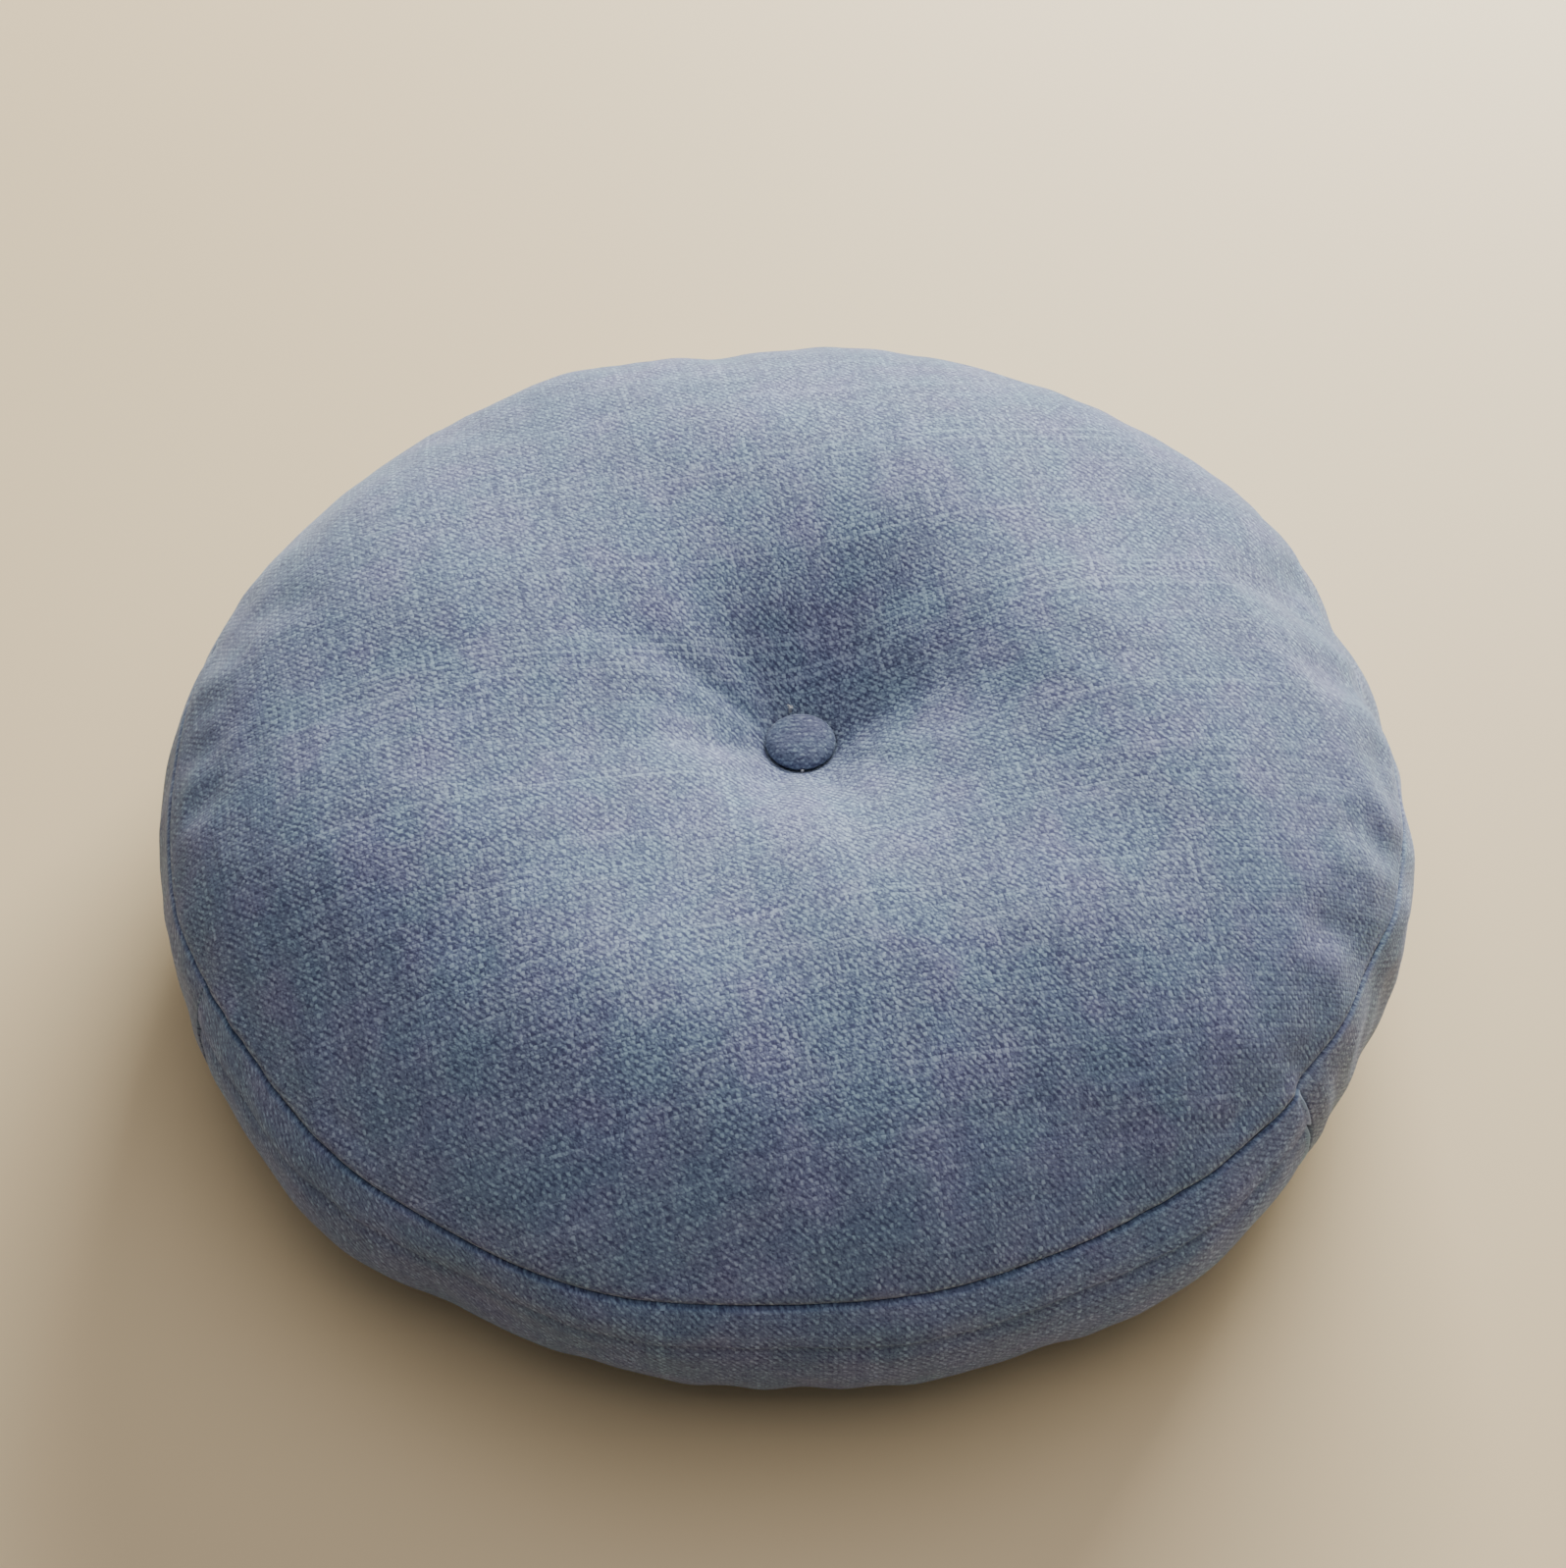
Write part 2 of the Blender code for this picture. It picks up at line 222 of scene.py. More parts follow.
def around(values):
    """A smooth periodic function of azimuth through values at equal steps from -180 degrees."""
    v = np.asarray(values, float)

    def f(phi):
        x = (turn(phi) + math.pi) / (2 * math.pi) * len(v)
        i = np.floor(x).astype(int)
        t = x - i
        a, b, c, d = (v[(i + k) % len(v)] for k in (-1, 0, 1, 2))
        return 0.5 * (
            2 * b + (c - a) * t + (2 * a - 5 * b + 4 * c - d) * t**2 + (3 * b - a - 3 * c + d) * t**3
        )

    return f


# how far the sewn outline and the band's bulge stray from their circles, mm, each
# 15 degrees from -180: the cushion is lopsided, with its button right of the middle
SEAM_STRAYS = around(
    [9.6, 9.8, 8.0, 9.0, 8.4, 6.8, 1.2, -0.3, 1.0, -1.4, -5.4, -3.0]
    + [-5.6, -9.6, -4.2, -4.5, -1.0, -4.3, -3.0, -4.0, -0.5, 7.3, 8.4, 10.4]
)
BAND_STRAYS = around(
    [12.0, 6.4, 10.7, 8.9, 3.0, 0.8, -1.2, -3.0, 1.2, 0.8, -5.2, -5.2]
    + [-2.3, -0.2, 3.7, 2.0, -0.3, -2.2, -2.6, -1.4, 1.8, 6.2, 10.4, 13.2]
)


def gathered(phi):
    """How hard the seam gathers the cloth: most at the right edge, some at the left."""
    deg = np.degrees(turn(phi))
    return 0.35 + 1.25 * hump(deg, -3, 30) + 0.5 * hump(np.degrees(turn(phi - math.pi)), 6, 30)


def seam_step(phi):
    """The seam steps outwards where it passes the right join, mm."""
    x = np.degrees(turn(phi - JOIN_R)) + 0.3
    return -2.3 * np.tanh(x / 0.8) * np.exp(-np.abs(x) / 5.0)


MOVED = None  # what the cloth simulation adds, once it has run


def surface(phi, s, extra=0.0):
    """Points of the outer surface at azimuth phi and arc distance s, moved outwards by extra."""
    phi, s = np.broadcast_arrays(phi, s)
    r = np.interp(s, S, PROFILE[:, 0])
    z = np.interp(s, S, PROFILE[:, 1])
    nr = np.interp(s, S, NORMAL[:, 0])
    nz = np.interp(s, S, NORMAL[:, 1])
    c, sn = np.cos(phi), np.sin(phi)
    p = np.stack([r * c, r * sn, z], -1)
    top = s < S_SEAM
    # broad unevenness of the filling
    free = smoothstep(0.03, 0.09, s) * smoothstep(S_REST + 0.01, S_REST - 0.035, s)
    d = MM * free * (1.3 * lump_a(p) + 0.55 * lump_b(p))
    # soft folds drawn in by the button
    rr = r / MM
    for deg, wide, size, r0, r1 in (
        (142.0, 13.0, 0.8, 24, 100),
        (167.0, 9.0, 0.75, 22, 118),
        (124.0, 9.0, -0.35, 22, 80),
        (155.0, 7.0, -0.5, 24, 90),
        (-88.0, 9.0, 1.3, 20, 110),
        (-64.0, 11.0, -0.9, 20, 80),
        (-112.0, 12.0, -0.9, 20, 80),
        (40.0, 10.0, 1.1, 26, 92),
        (58.0, 16.0, -1.1, 20, 95),
        (14.0, 12.0, -1.0, 20, 80),
        (-20.0, 10.0, 0.9, 20, 80),
        (196.0, 9.0, -1.0, 20, 90),
        (215.0, 10.0, 1.0, 20, 80),
        (92.0, 10.0, 1.0, 24, 85),
    ):
        window = smoothstep(15, r0 + 8, rr) * (1 - smoothstep(r1 * 0.55, r1 * 1.25, rr))
        d = d + top * MM * size * window * hump(np.degrees(turn(phi - math.radians(deg))), 0, wide)
    # gathers either side of the top seam
    seam = np.abs(s - S_SEAM) / MM
    some = 0.55 + 0.45 * np.clip(pucker_where(phi), -1, 1)
    gather = gathered(phi)
    d = d + MM * 0.5 * some * gather * pucker(phi) * np.exp(-seam / 11) * (seam > 0)
    d = d + MM * 0.6 * gather * pucker_slow(phi) * np.exp(-seam / 28) * (seam > 0)
    # the seam's turned-in allowance shows through the top as a low welt
    d = d + MM * 0.35 * top * hump(seam, 4.6, 2.2) * (0.6 + 0.4 * pucker_where(phi))
    # the lower seam
    low = np.abs(s - S_LOW) / MM
    d = d + MM * 0.5 * low_pucker(phi) * np.exp(-low / 9) * free
    d = d + MM * 1.3 * band_slow(phi) * np.exp(-(((s - (S_SEAM + S_LOW) / 2) / 0.045) ** 2))
    d = d + extra
    top_part = np.minimum(r / R_SEAM, 1.0) ** 2.5 * (s < S_SEAM)
    mid = smoothstep(S_SEAM, (S_SEAM + S_LOW) / 2, s) * (s >= S_SEAM)
    low_part = np.minimum(r / R_LOW_SEAM, 1.0) ** 3 * (s > S_LOW) + (s <= S_LOW)
    strays = SEAM_STRAYS(phi)
    step = seam_step(phi) * np.exp(-np.abs(s - S_SEAM) / 0.012)
    rad = MM * np.where(
        s < S_SEAM,
        strays * top_part + step,
        (strays * (1 - mid) + BAND_STRAYS(phi) * mid) * low_part + step,
    )
    if MOVED is not None:
        out, up, along = MOVED(phi, s)
    else:
        out = up = along = 0.0
    p[..., 0] += (nr * d + rad + out) * c - along * sn
    p[..., 1] += (nr * d + rad + out) * sn + along * c
    p[..., 2] += nz * d + up
    p[..., 2] = np.maximum(p[..., 2], 0.0)
    return p



# ---- cloth simulation of the cover ------------------------------------------
def relax():
    """Lets the cover, cut a little too large for its seams, buckle over its filling.

    The cover's form is remeshed evenly and simulated with its seams and its tufts held
    and pressure inside. What comes back is how far the cloth moved, by azimuth and arc
    distance, without the slow part that would change the cushion's size.
    """
    import bmesh
    from mathutils.kdtree import KDTree

    phi = np.linspace(-math.pi, math.pi, 150, endpoint=False)[None, :]
    s = np.linspace(0.0, S_END, 110)[:, None]
    s[0], s[-1] = 0.002, S_END - 0.002
    g = surface(phi, s)
    rows_n, cols = g.shape[:2]
    bm = bmesh.new()
    ring = [[bm.verts.new(v) for v in row] for row in g]
    for i in range(rows_n - 1):
        for j in range(cols):
            k = (j + 1) % cols
            bm.faces.new((ring[i][j], ring[i + 1][j], ring[i + 1][k], ring[i][k]))
    bm.faces.new(ring[0])
    bm.faces.new(ring[-1][::-1])
    me = bpy.data.meshes.new("form")
    bm.to_mesh(me)
    bm.free()
    obj = bpy.data.objects.new("form", me)
    bpy.context.scene.collection.objects.link(obj)
    m = obj.modifiers.new("even", "REMESH")
    m.mode = "VOXEL"
    m.voxel_size = 0.0052
    graph = bpy.context.evaluated_depsgraph_get()
    even = bpy.data.meshes.new_from_object(obj.evaluated_get(graph))
    obj.modifiers.clear()
    obj.data = even
    n = len(even.vertices)
    rest = np.empty(n * 3, np.float32)
    even.vertices.foreach_get("co", rest)
    rest = rest.reshape(-1, 3).astype(float)

    # where each point lies on the profile
    samples_s = np.linspace(0.0, S_END, 230)
    samples_phi = np.linspace(-math.pi, math.pi, 200, endpoint=False)
    near = KDTree(len(samples_s) * len(samples_phi))
    sheet = surface(samples_phi[None, :], samples_s[:, None]).reshape(-1, 3)
    for i, v in enumerate(sheet):
        near.insert(v, i)
    near.balance()
    where = np.array([near.find(v)[1] for v in rest])
    at_s = samples_s[where // len(samples_phi)]
    r = np.hypot(rest[:, 0], rest[:, 1])
    held = np.zeros(n)
    held[np.abs(at_s - S_SEAM) < 0.0045] = 1.0
    held[np.abs(at_s - S_LOW) < 0.0045] = 1.0
    held[(r < 0.019)] = 1.0
    held[(rest[:, 2] < 0.0035)] = 1.0
    group = obj.vertex_groups.new(name="held")
    for i in np.nonzero(held)[0]:
        group.add([int(i)], 1.0, "REPLACE")
    cloth = obj.modifiers.new("cloth", "CLOTH")
    cs = cloth.settings
    cs.quality = 6
    cs.mass = 0.25
    cs.tension_stiffness = 25.0
    cs.compression_stiffness = 25.0
    cs.shear_stiffness = 8.0
    cs.bending_stiffness = 0.35
    cs.tension_damping = cs.compression_damping = 8.0
    cs.shear_damping = 6.0
    cs.bending_damping = 1.0
    cs.air_damping = 4.0
    cs.vertex_group_mass = "held"
    cs.pin_stiffness = 1.0
    cs.shrink_min = -0.028
    cs.use_pressure = True
    cs.uniform_pressure_force = 2.2
    cs.effector_weights.gravity = 0.0
    cloth.collision_settings.use_collision = False
    scene = bpy.context.scene
    cloth.point_cache.frame_start, cloth.point_cache.frame_end = 1, 30
    for frame_number in range(1, 27):
        scene.frame_set(frame_number)
    graph = bpy.context.evaluated_depsgraph_get()
    done = obj.evaluated_get(graph)
    after = np.empty(n * 3, np.float32)
    done.data.vertices.foreach_get("co", after)
    move = after.reshape(-1, 3).astype(float) - rest
    scene.frame_set(1)
    bpy.data.objects.remove(obj, do_unlink=True)
    size = np.linalg.norm(move, axis=1)
    print("cloth moved mm: mean", round(size.mean() * 1000, 2), "most", round(size.max() * 1000, 2))
    tree = KDTree(n)
    for i, v in enumerate(rest):
        tree.insert(v, i)
    tree.balance()
    NS, NP = 160, 260
    gs = np.linspace(0.0, S_END, NS)
    gp = np.linspace(-math.pi, math.pi, NP, endpoint=False)
    sheet = surface(gp[None, :], gs[:, None]).reshape(-1, 3)
    got = np.empty_like(sheet)
    for i, v in enumerate(sheet):
        found = tree.find_n(v, 5)
        w = np.array([1.0 / (f[2] + 0.0012) ** 2 for f in found])
        got[i] = (w[:, None] * move[[f[1] for f in found]]).sum(0) / w.sum()
    got = got.reshape(NS, NP, 3)
    c, sn = np.cos(gp)[None, :], np.sin(gp)[None, :]
    parts = [got[..., 0] * c + got[..., 1] * sn, got[..., 2], -got[..., 0] * sn + got[..., 1] * c]
    cap = 0.0055
    out = []
    for f in parts:
        spectrum = np.fft.rfft(f, axis=1)
        spectrum[:, :4] = 0.0
        spectrum[:, 70:] = 0.0
        f = np.fft.irfft(spectrum, NP, axis=1)
        f = cap * np.tanh(f / cap)
        f[np.abs(gs - S_SEAM) < 0.0015] = 0.0
        out.append(f)

    gain = 0.3 + 0.45 * np.clip(gathered(gp), 0, 1.4)[None, :]
    gain = gain * (0.45 + 0.55 * smoothstep(0.13, 0.2, gs))[:, None]
    out = [f * gain for f in out]

    def moved(phi, s):
        phi, s = np.broadcast_arrays(phi, s)
        x = (turn(phi) + math.pi) / (2 * math.pi) * NP
        y = np.clip(s / S_END * (NS - 1), 0, NS - 1.001)
        i, j = np.floor(x).astype(int), np.floor(y).astype(int)
        u, v = x - i, y - j

        def cubic(f, j):
            a, b, c_, d_ = (f[j, (i + k) % NP] for k in (-1, 0, 1, 2))
            return 0.5 * (2 * b + (c_ - a) * u + (2 * a - 5 * b + 4 * c_ - d_) * u**2 + (3 * b - a - 3 * c_ + d_) * u**3)

        res = []
        for f in out:
            a, b, c_, d_ = (cubic(f, np.clip(j + k, 0, NS - 1)) for k in (-1, 0, 1, 2))
            res.append(0.5 * (2 * b + (c_ - a) * v + (2 * a - 5 * b + 4 * c_ - d_) * v**2 + (3 * b - a - 3 * c_ + d_) * v**3))
        return res

    return moved


MOVED = relax()


# ---- meshes -----------------------------------------------------------------
def sheet_object(name, grid, uv, closed, poles=(False, False), thickness=0.0):
    """A quad mesh from grid[row, column], with a UV map in metres of cloth."""
    rows, cols = grid.shape[:2]
    verts = grid.reshape(-1, 3)
    cells = cols if closed else cols - 1
    a, b = np.meshgrid(np.arange(rows - 1), np.arange(cells), indexing="ij")
    a, b = a.ravel(), b.ravel()
    nxt = (b + 1) % cols
    faces = np.stack([a * cols + b, (a + 1) * cols + b, (a + 1) * cols + nxt, a * cols + nxt], 1)
    me = bpy.data.meshes.new(name)
    me.vertices.add(len(verts))
    me.vertices.foreach_set("co", verts.astype(np.float32).ravel())
    me.loops.add(faces.size)
    me.loops.foreach_set("vertex_index", faces.astype(np.int32).ravel())
    me.polygons.add(len(faces))
    me.polygons.foreach_set("loop_start", np.arange(0, faces.size, 4, dtype=np.int32))
    me.update(calc_edges=True)
    layer = me.uv_layers.new(name="cloth")
    # the last column of a closed grid ends at the seam in the UV map, not at 0
    last = (b + 1) if closed else nxt
    if closed:
        uvx = np.concatenate([uv, uv[:, :1] if uv.shape[1] == cols else uv[:, -1:]], 1)
    else:
        uvx = uv
    if closed and uv.shape[1] == cols + 1:
        uvx = uv
    loops = np.stack([uvx[a, b], uvx[a + 1, b], uvx[a + 1, last], uvx[a, last]], 1)
    layer.data.foreach_set("uv", loops.astype(np.float32).ravel())
    me.polygons.foreach_set("use_smooth", np.ones(len(faces), bool))
    obj = bpy.data.objects.new(name, me)
    bpy.context.scene.collection.objects.link(obj)
    if any(poles):
        import bmesh

        bm = bmesh.new()
        bm.from_mesh(me)
        bmesh.ops.remove_doubles(bm, verts=bm.verts, dist=1e-6)
        bm.to_mesh(me)
        bm.free()
    if thickness:
        m = obj.modifiers.new("cloth thickness", "SOLIDIFY")
        m.thickness = thickness
        m.offset = -1.0
        m.use_even_offset = False
    return obj


def polar_uv(phi, s, grain=GRAIN, side=1.0):
    """Flat-cut cloth: distance from the middle along the surface, and azimuth."""
    phi, s = np.broadcast_arrays(phi, s)
    return np.stack([s * np.cos(phi - grain) * side, s * np.sin(phi - grain)], -1)


NPHI = 440
PHI = np.linspace(-math.pi, math.pi, NPHI, endpoint=False)[None, :]


def rows(a, b, step, fine_a=(), fine_b=()):
    """Arc distances from a to b, with finer steps given as distances in from either end."""
    n = max(2, int(round((b - a) / step)))
    base = np.linspace(a, b, n + 1)
    extra = [a + v for v in fine_a] + [b - v for v in fine_b]
    keep = [v for v in base if all(abs(v - e) > step * 0.45 for e in extra) or v in (a, b)]
    return np.array(sorted(set(keep) | set(extra)))[:, None]


def roll(distance, deep=0.0018, wide=0.0025):
    """How far cloth dips inwards this near to its sewn edge."""
    t = np.clip(1 - distance / wide, 0, 1)
    return -deep * t**2.2


FINE = tuple(v * MM for v in (0.25, 0.6, 1.0, 1.5, 2.1, 2.8, 3.7))

# top panel
s = rows(0.0046, S_SEAM, 0.00165, fine_b=FINE)
top = sheet_object(
    "top_panel",
    surface(PHI, s, roll(S_SEAM - s)),
    polar_uv(PHI, s),
    True,
    thickness=0.0008,
)


def strip_uv(phi, s):
    phi, s = np.broadcast_arrays(phi, s)
    return np.stack([phi * R_BULGE, -s], -1)


def arc_columns(a, b, step_mm=3.6, ends=(0.25, 0.5, 0.75, 1.0, 1.3, 1.6, 1.9, 2.3, 2.9, 3.8)):
    """Azimuths from a to b, finer at both ends."""
    n = int(round((b - a) * R_BULGE / (step_mm * MM)))
    fine = np.array(ends) * MM / R_BULGE
    base = np.linspace(a, b, n + 1)
    base = base[(base > a + fine[-1] * 1.2) & (base < b - fine[-1] * 1.2)]
    return np.concatenate([[a], a + fine, base, (b - fine)[::-1], [b]])[None, :]


def near_join(phi, plain):
    """Depth change beside the band's two upright joins. The right one is pulled in, with
    the zip strips' turned-in end as a ridge beside the plain band; the left one lies flat."""
    d = np.zeros(np.broadcast(phi, 0).shape)
    for at, front, swell, wall, ridge, under in (
        (JOIN_R, -1.0, 1.5, 1.2, 1.5, 1.0),
        (JOIN_L, 1.0, 0.7, 0.8, 0.0, 0.5),
    ):
        x = turn(phi - at) * R_BULGE / MM * front  # positive on the zip side
        near = (x > -40) & (x < 40)
        if plain:
            end = 2.9 * np.clip((x + wall) / (wall + 0.2), 0, 1) ** 1.8
            d = d + near * MM * (swell * hump(x, -10.0, 8.0) - end)
        else:
            dip = under * (1 - smoothstep(0.0, 6.0, x)) + 1.6 * smoothstep(0.4, -2.0, x)
            d = d + near * MM * (ridge * hump(x, 1.25, 0.85) - dip)
    return d


def lean(phi, s):
    """The right join leans back as it goes down; this is the azimuth its points take."""
    x = np.degrees(turn(phi - JOIN_R))
    down = np.clip((s - S_SEAM) / (S_LOW - S_SEAM), 0, 1)
    return phi + np.radians(3.2) * down * hump(x, 0, 8)


def band_window(s):
    """0 at the band's two seams, 1 between them."""
    return smoothstep(S_SEAM + 0.0005, S_SEAM + 0.007, s) * smoothstep(S_LOW, S_LOW - 0.009, s)


step = 0.0022
TUCK = 0.0034 / R_BULGE  # the zip strips run this far in under the plain band's ends
phi = arc_columns(JOIN_R - 0.0002 / R_BULGE, JOIN_L + 2 * math.pi + 0.0002 / R_BULGE)
s = rows(S_SEAM, S_LOW, step, FINE, FINE)
side = sheet_object(
    "side_band_cloth",
    surface(lean(phi, s), s, roll(s - S_SEAM) + roll(S_LOW - s) + near_join(phi, True) * band_window(s)),
    strip_uv(phi, s),
    False,
    thickness=0.0008,
)

# upper strip: down to the lap, round its folded edge and up behind
phi = arc_columns(JOIN_L - TUCK, JOIN_R + TUCK, ends=tuple(np.arange(0.8, 8.5, 0.36)))
proud = 0.0007
s_out = rows(S_SEAM, S_LAP - 0.0006, 0.0016, FINE, (0.0004, 0.001, 0.0017, 0.0026))
join = near_join(phi, False) * band_window(s_out)
lap_wave = MM * 0.25 * ripple(41, (20, 70), 0.3)(phi)
outer = surface(
    lean(phi, s_out), s_out, roll(s_out - S_SEAM) + proud * smoothstep(S_SEAM, S_LAP - 0.006, s_out) + join
)
outer = outer + np.array([0, 0, 1.0]) * (lap_wave * smoothstep(S_LAP - 0.012, S_LAP, s_out))[..., None]
turned = []
turned_s = []
for k, (back, up) in enumerate(
    ((0.12, -0.35), (0.5, -0.6), (1.0, -0.66), (1.5, -0.45), (1.8, 0.0), (1.95, 1.0), (2.1, 3.0), (2.3, 6.0))
):
    sk = S_LAP - 0.0006 - up * MM
    j = near_join(phi, False) * band_window(np.array([[sk]]))
    g = surface(lean(phi, sk), np.array([[sk]]), proud - back * MM + j)
    g = g + np.array([0, 0, 1.0]) * lap_wave[..., None]
    turned.append(g)
    turned_s.append(S_LAP + (k + 1) * 0.0007)
flap = sheet_object(
    "zip_flap_cloth",
    np.concatenate([outer] + turned, 0),
    strip_uv(phi, np.concatenate([s_out[:, 0], turned_s])[:, None]),
    False,
    thickness=0.0007,
)

# lower strip: starts behind the flap and comes out under its edge
s = rows(S_LAP - 0.006, S_LOW, step, (), FINE)
behind = -0.0022 * (1 - smoothstep(S_LAP - 0.001, S_LAP + 0.012, s))
join = near_join(phi, False) * band_window(s)
lower = sheet_object(
    "zip_lower_cloth",
    surface(lean(phi, s), s, behind + roll(S_LOW - s) + join),
    strip_uv(phi, s),
    False,
    thickness=0.0008,
)

# bottom panel
s = rows(S_LOW, S_END - 0.0046, 0.0024, FINE)
bottom = sheet_object(
    "bottom_panel",
    surface(PHI, s, roll(s - S_LOW)),
    polar_uv(PHI, S_END - s, side=-1.0),
    True,
    thickness=0.0008,
)

# casing and filling follow the same shape inside
inset = 0.0036
SUB = np.linspace(-math.pi, math.pi, 180, endpoint=False)[None, :]
S_MID = s_where(R_BULGE, 0.06)


def inner(name, a, b, depth, zip_room=0.009):
    s = rows(a, b, 0.005)
    z = np.interp(s, S, PROFILE[:, 1])
    back = depth + zip_room * hump(z, 0.088, 0.014) * (s > S_SEAM - 0.01)
    back = back + 0.004 * hump(z, 0.1, 0.006) + 0.004 * hump(z, 0.018, 0.008) * (s < S_REST)
    # where the cover bulges past its circle, the lining stays behind, clear of the zip's track
    bulge = MM * np.clip(0.7 * SEAM_STRAYS(SUB) + 0.3 * BAND_STRAYS(SUB) + 1.5, 0, None)
    deg = np.degrees(turn(SUB))
    along_zip = smoothstep(-178, -164, deg) * smoothstep(-26, -36, deg)
    back = back + bulge * along_zip * hump(z, 0.087, 0.017) * (s > S_SEAM - 0.02)
    return surface(SUB, s, -back), polar_uv(SUB, s)


g, uv = inner("casing_up", 0.009, S_MID - 0.0003, inset)
casing_up = sheet_object("casing_upper_cloth", g, uv, True, thickness=0.0006)
g, uv = inner("casing_low", S_MID + 0.0003, S_END - 0.009, inset)
casing_low = sheet_object("casing_lower_cloth", g, uv, True, thickness=0.0006)
g, uv = inner("fill", 0.0075, S_END - 0.0075, inset + 0.0012)
# close the filling along its bore
filling = sheet_object("fibre_filling", np.concatenate([g, g[:1]], 0), np.concatenate([uv, uv[:1]], 0), True)


# ---- stitching --------------------------------------------------------------
def tube(name, line, out, radius, closed, sides=6):
    """A round thread along the points, with out as a direction across it at each."""
    line, out = np.asarray(line, float), np.asarray(out, float)
    along = np.roll(line, -1, 0) - np.roll(line, 1, 0)
    if not closed:
        along[0], along[-1] = line[1] - line[0], line[-1] - line[-2]
    along /= np.linalg.norm(along, axis=1, keepdims=True)
    out = out - along * (out * along).sum(1, keepdims=True)
    out /= np.linalg.norm(out, axis=1, keepdims=True)
    across = np.cross(along, out)
    a = np.linspace(0, 2 * math.pi, sides, endpoint=False)
    radius = np.broadcast_to(np.asarray(radius, float), len(line))[:, None, None]
    ring = line[:, None] + radius * (
        np.cos(a)[None, :, None] * out[:, None] + np.sin(a)[None, :, None] * across[:, None]
    )
    n = len(line)
    verts = ring.reshape(-1, 3)
    cells = n if closed else n - 1
    i, j = np.meshgrid(np.arange(cells), np.arange(sides), indexing="ij")
    i, j = i.ravel(), j.ravel()
    i2, j2 = (i + 1) % n, (j + 1) % sides
    faces = np.stack([i * sides + j, i2 * sides + j, i2 * sides + j2, i * sides + j2], 1).tolist()
    if not closed:
        faces += [list(range(sides))[::-1], [(n - 1) * sides + k for k in range(sides)]]
    me = bpy.data.meshes.new(name)
    me.from_pydata(verts.tolist(), [], faces)
    me.polygons.foreach_set("use_smooth", np.ones(len(me.polygons), bool))
    obj = bpy.data.objects.new(name, me)
    bpy.context.scene.collection.objects.link(obj)
    return obj


def seam_thread(name, s, deep, count=1500, stitch=0.003):
    """Lockstitches in the bottom of a seam's valley, ducking into the cloth between them."""
    phi = np.linspace(-math.pi, math.pi, count, endpoint=False)
    arc_at = phi * R_SEAM
    duck = np.abs(np.sin(math.pi * arc_at / stitch)) ** 0.5
    base = surface(phi, np.full(count, s), -deep - 0.0005 + 0.00035 * duck)
    up = surface(phi, np.full(count, s), 0.004) - base
    return tube(name, base, up, 0.00026, True)


def join_thread(name, at):
    s = np.linspace(S_SEAM + 0.006, S_LOW - 0.005, 240)
    duck = np.abs(np.sin(math.pi * s / 0.003)) ** 0.5
    at = lean(np.full(240, at), s)
    base = surface(at, s, -0.0062 + 0.0004 * duck)
    up = surface(at, s, 0.004) - base
    return tube(name, base, up, 0.00026, False)


thread_top = seam_thread("top_seam_stitches", S_SEAM, 0.0018)
thread_low = seam_thread("bottom_seam_stitches", S_LOW, 0.0018)
thread_right = join_thread("right_join_stitches", JOIN_R)
thread_left = join_thread("left_join_stitches", JOIN_L)


def cord_end(name, node):
    """The cut end of the tufting cord: a short stub that frays into a few strands."""
    lo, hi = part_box(node)
    middle = (lo + hi) / 2
    azimuth = math.atan2(middle.y, middle.x)
    rng = np.random.default_rng(5)
    made = []
    # the tail behind the button, and the other end just showing in front of it
    for where, radius, low, high, spread, count in (
        (azimuth, 0.0162, 0.0030, 0.0042, 0.0009, 10),
        (azimuth + math.radians(168), 0.0147, 0.0012, 0.0018, 0.0004, 4),
    ):
        s_at = float(np.interp(radius, PROFILE[: len(PROFILE) // 3, 0], S[: len(S) // 3]))
        root = surface(np.array([where]), np.array([s_at]), 0.0001)[0]
        for _ in range(count):
            a = rng.uniform(0, 2 * math.pi)
            bend = np.array([math.cos(a), math.sin(a), 0.0]) * rng.uniform(0.3, 1.0)
            t = np.linspace(0, 1, 9)[:, None]
            line = root + np.array([0, 0, rng.uniform(low, high)]) * t + bend * spread * t**1.6
            line = line + 0.0002 * np.array([math.cos(a + 1.5), math.sin(a + 1.5), 0]) * (t < 2)
            made.append(tube(f"{name}_{len(made)}", line, np.tile([0.31, 0.2, 0.05], (9, 1)), 0.00042, False, 5))
    for o in made:
        o.select_set(True)
    bpy.context.view_layer.objects.active = made[0]
    bpy.ops.object.join()
    made[0].name = name
    made[0].select_set(False)
    return made[0]


for _o in bpy.context.selected_objects:
    _o.select_set(False)
tail = cord_end("tufting_cord_fray", "tufting_cord_end")


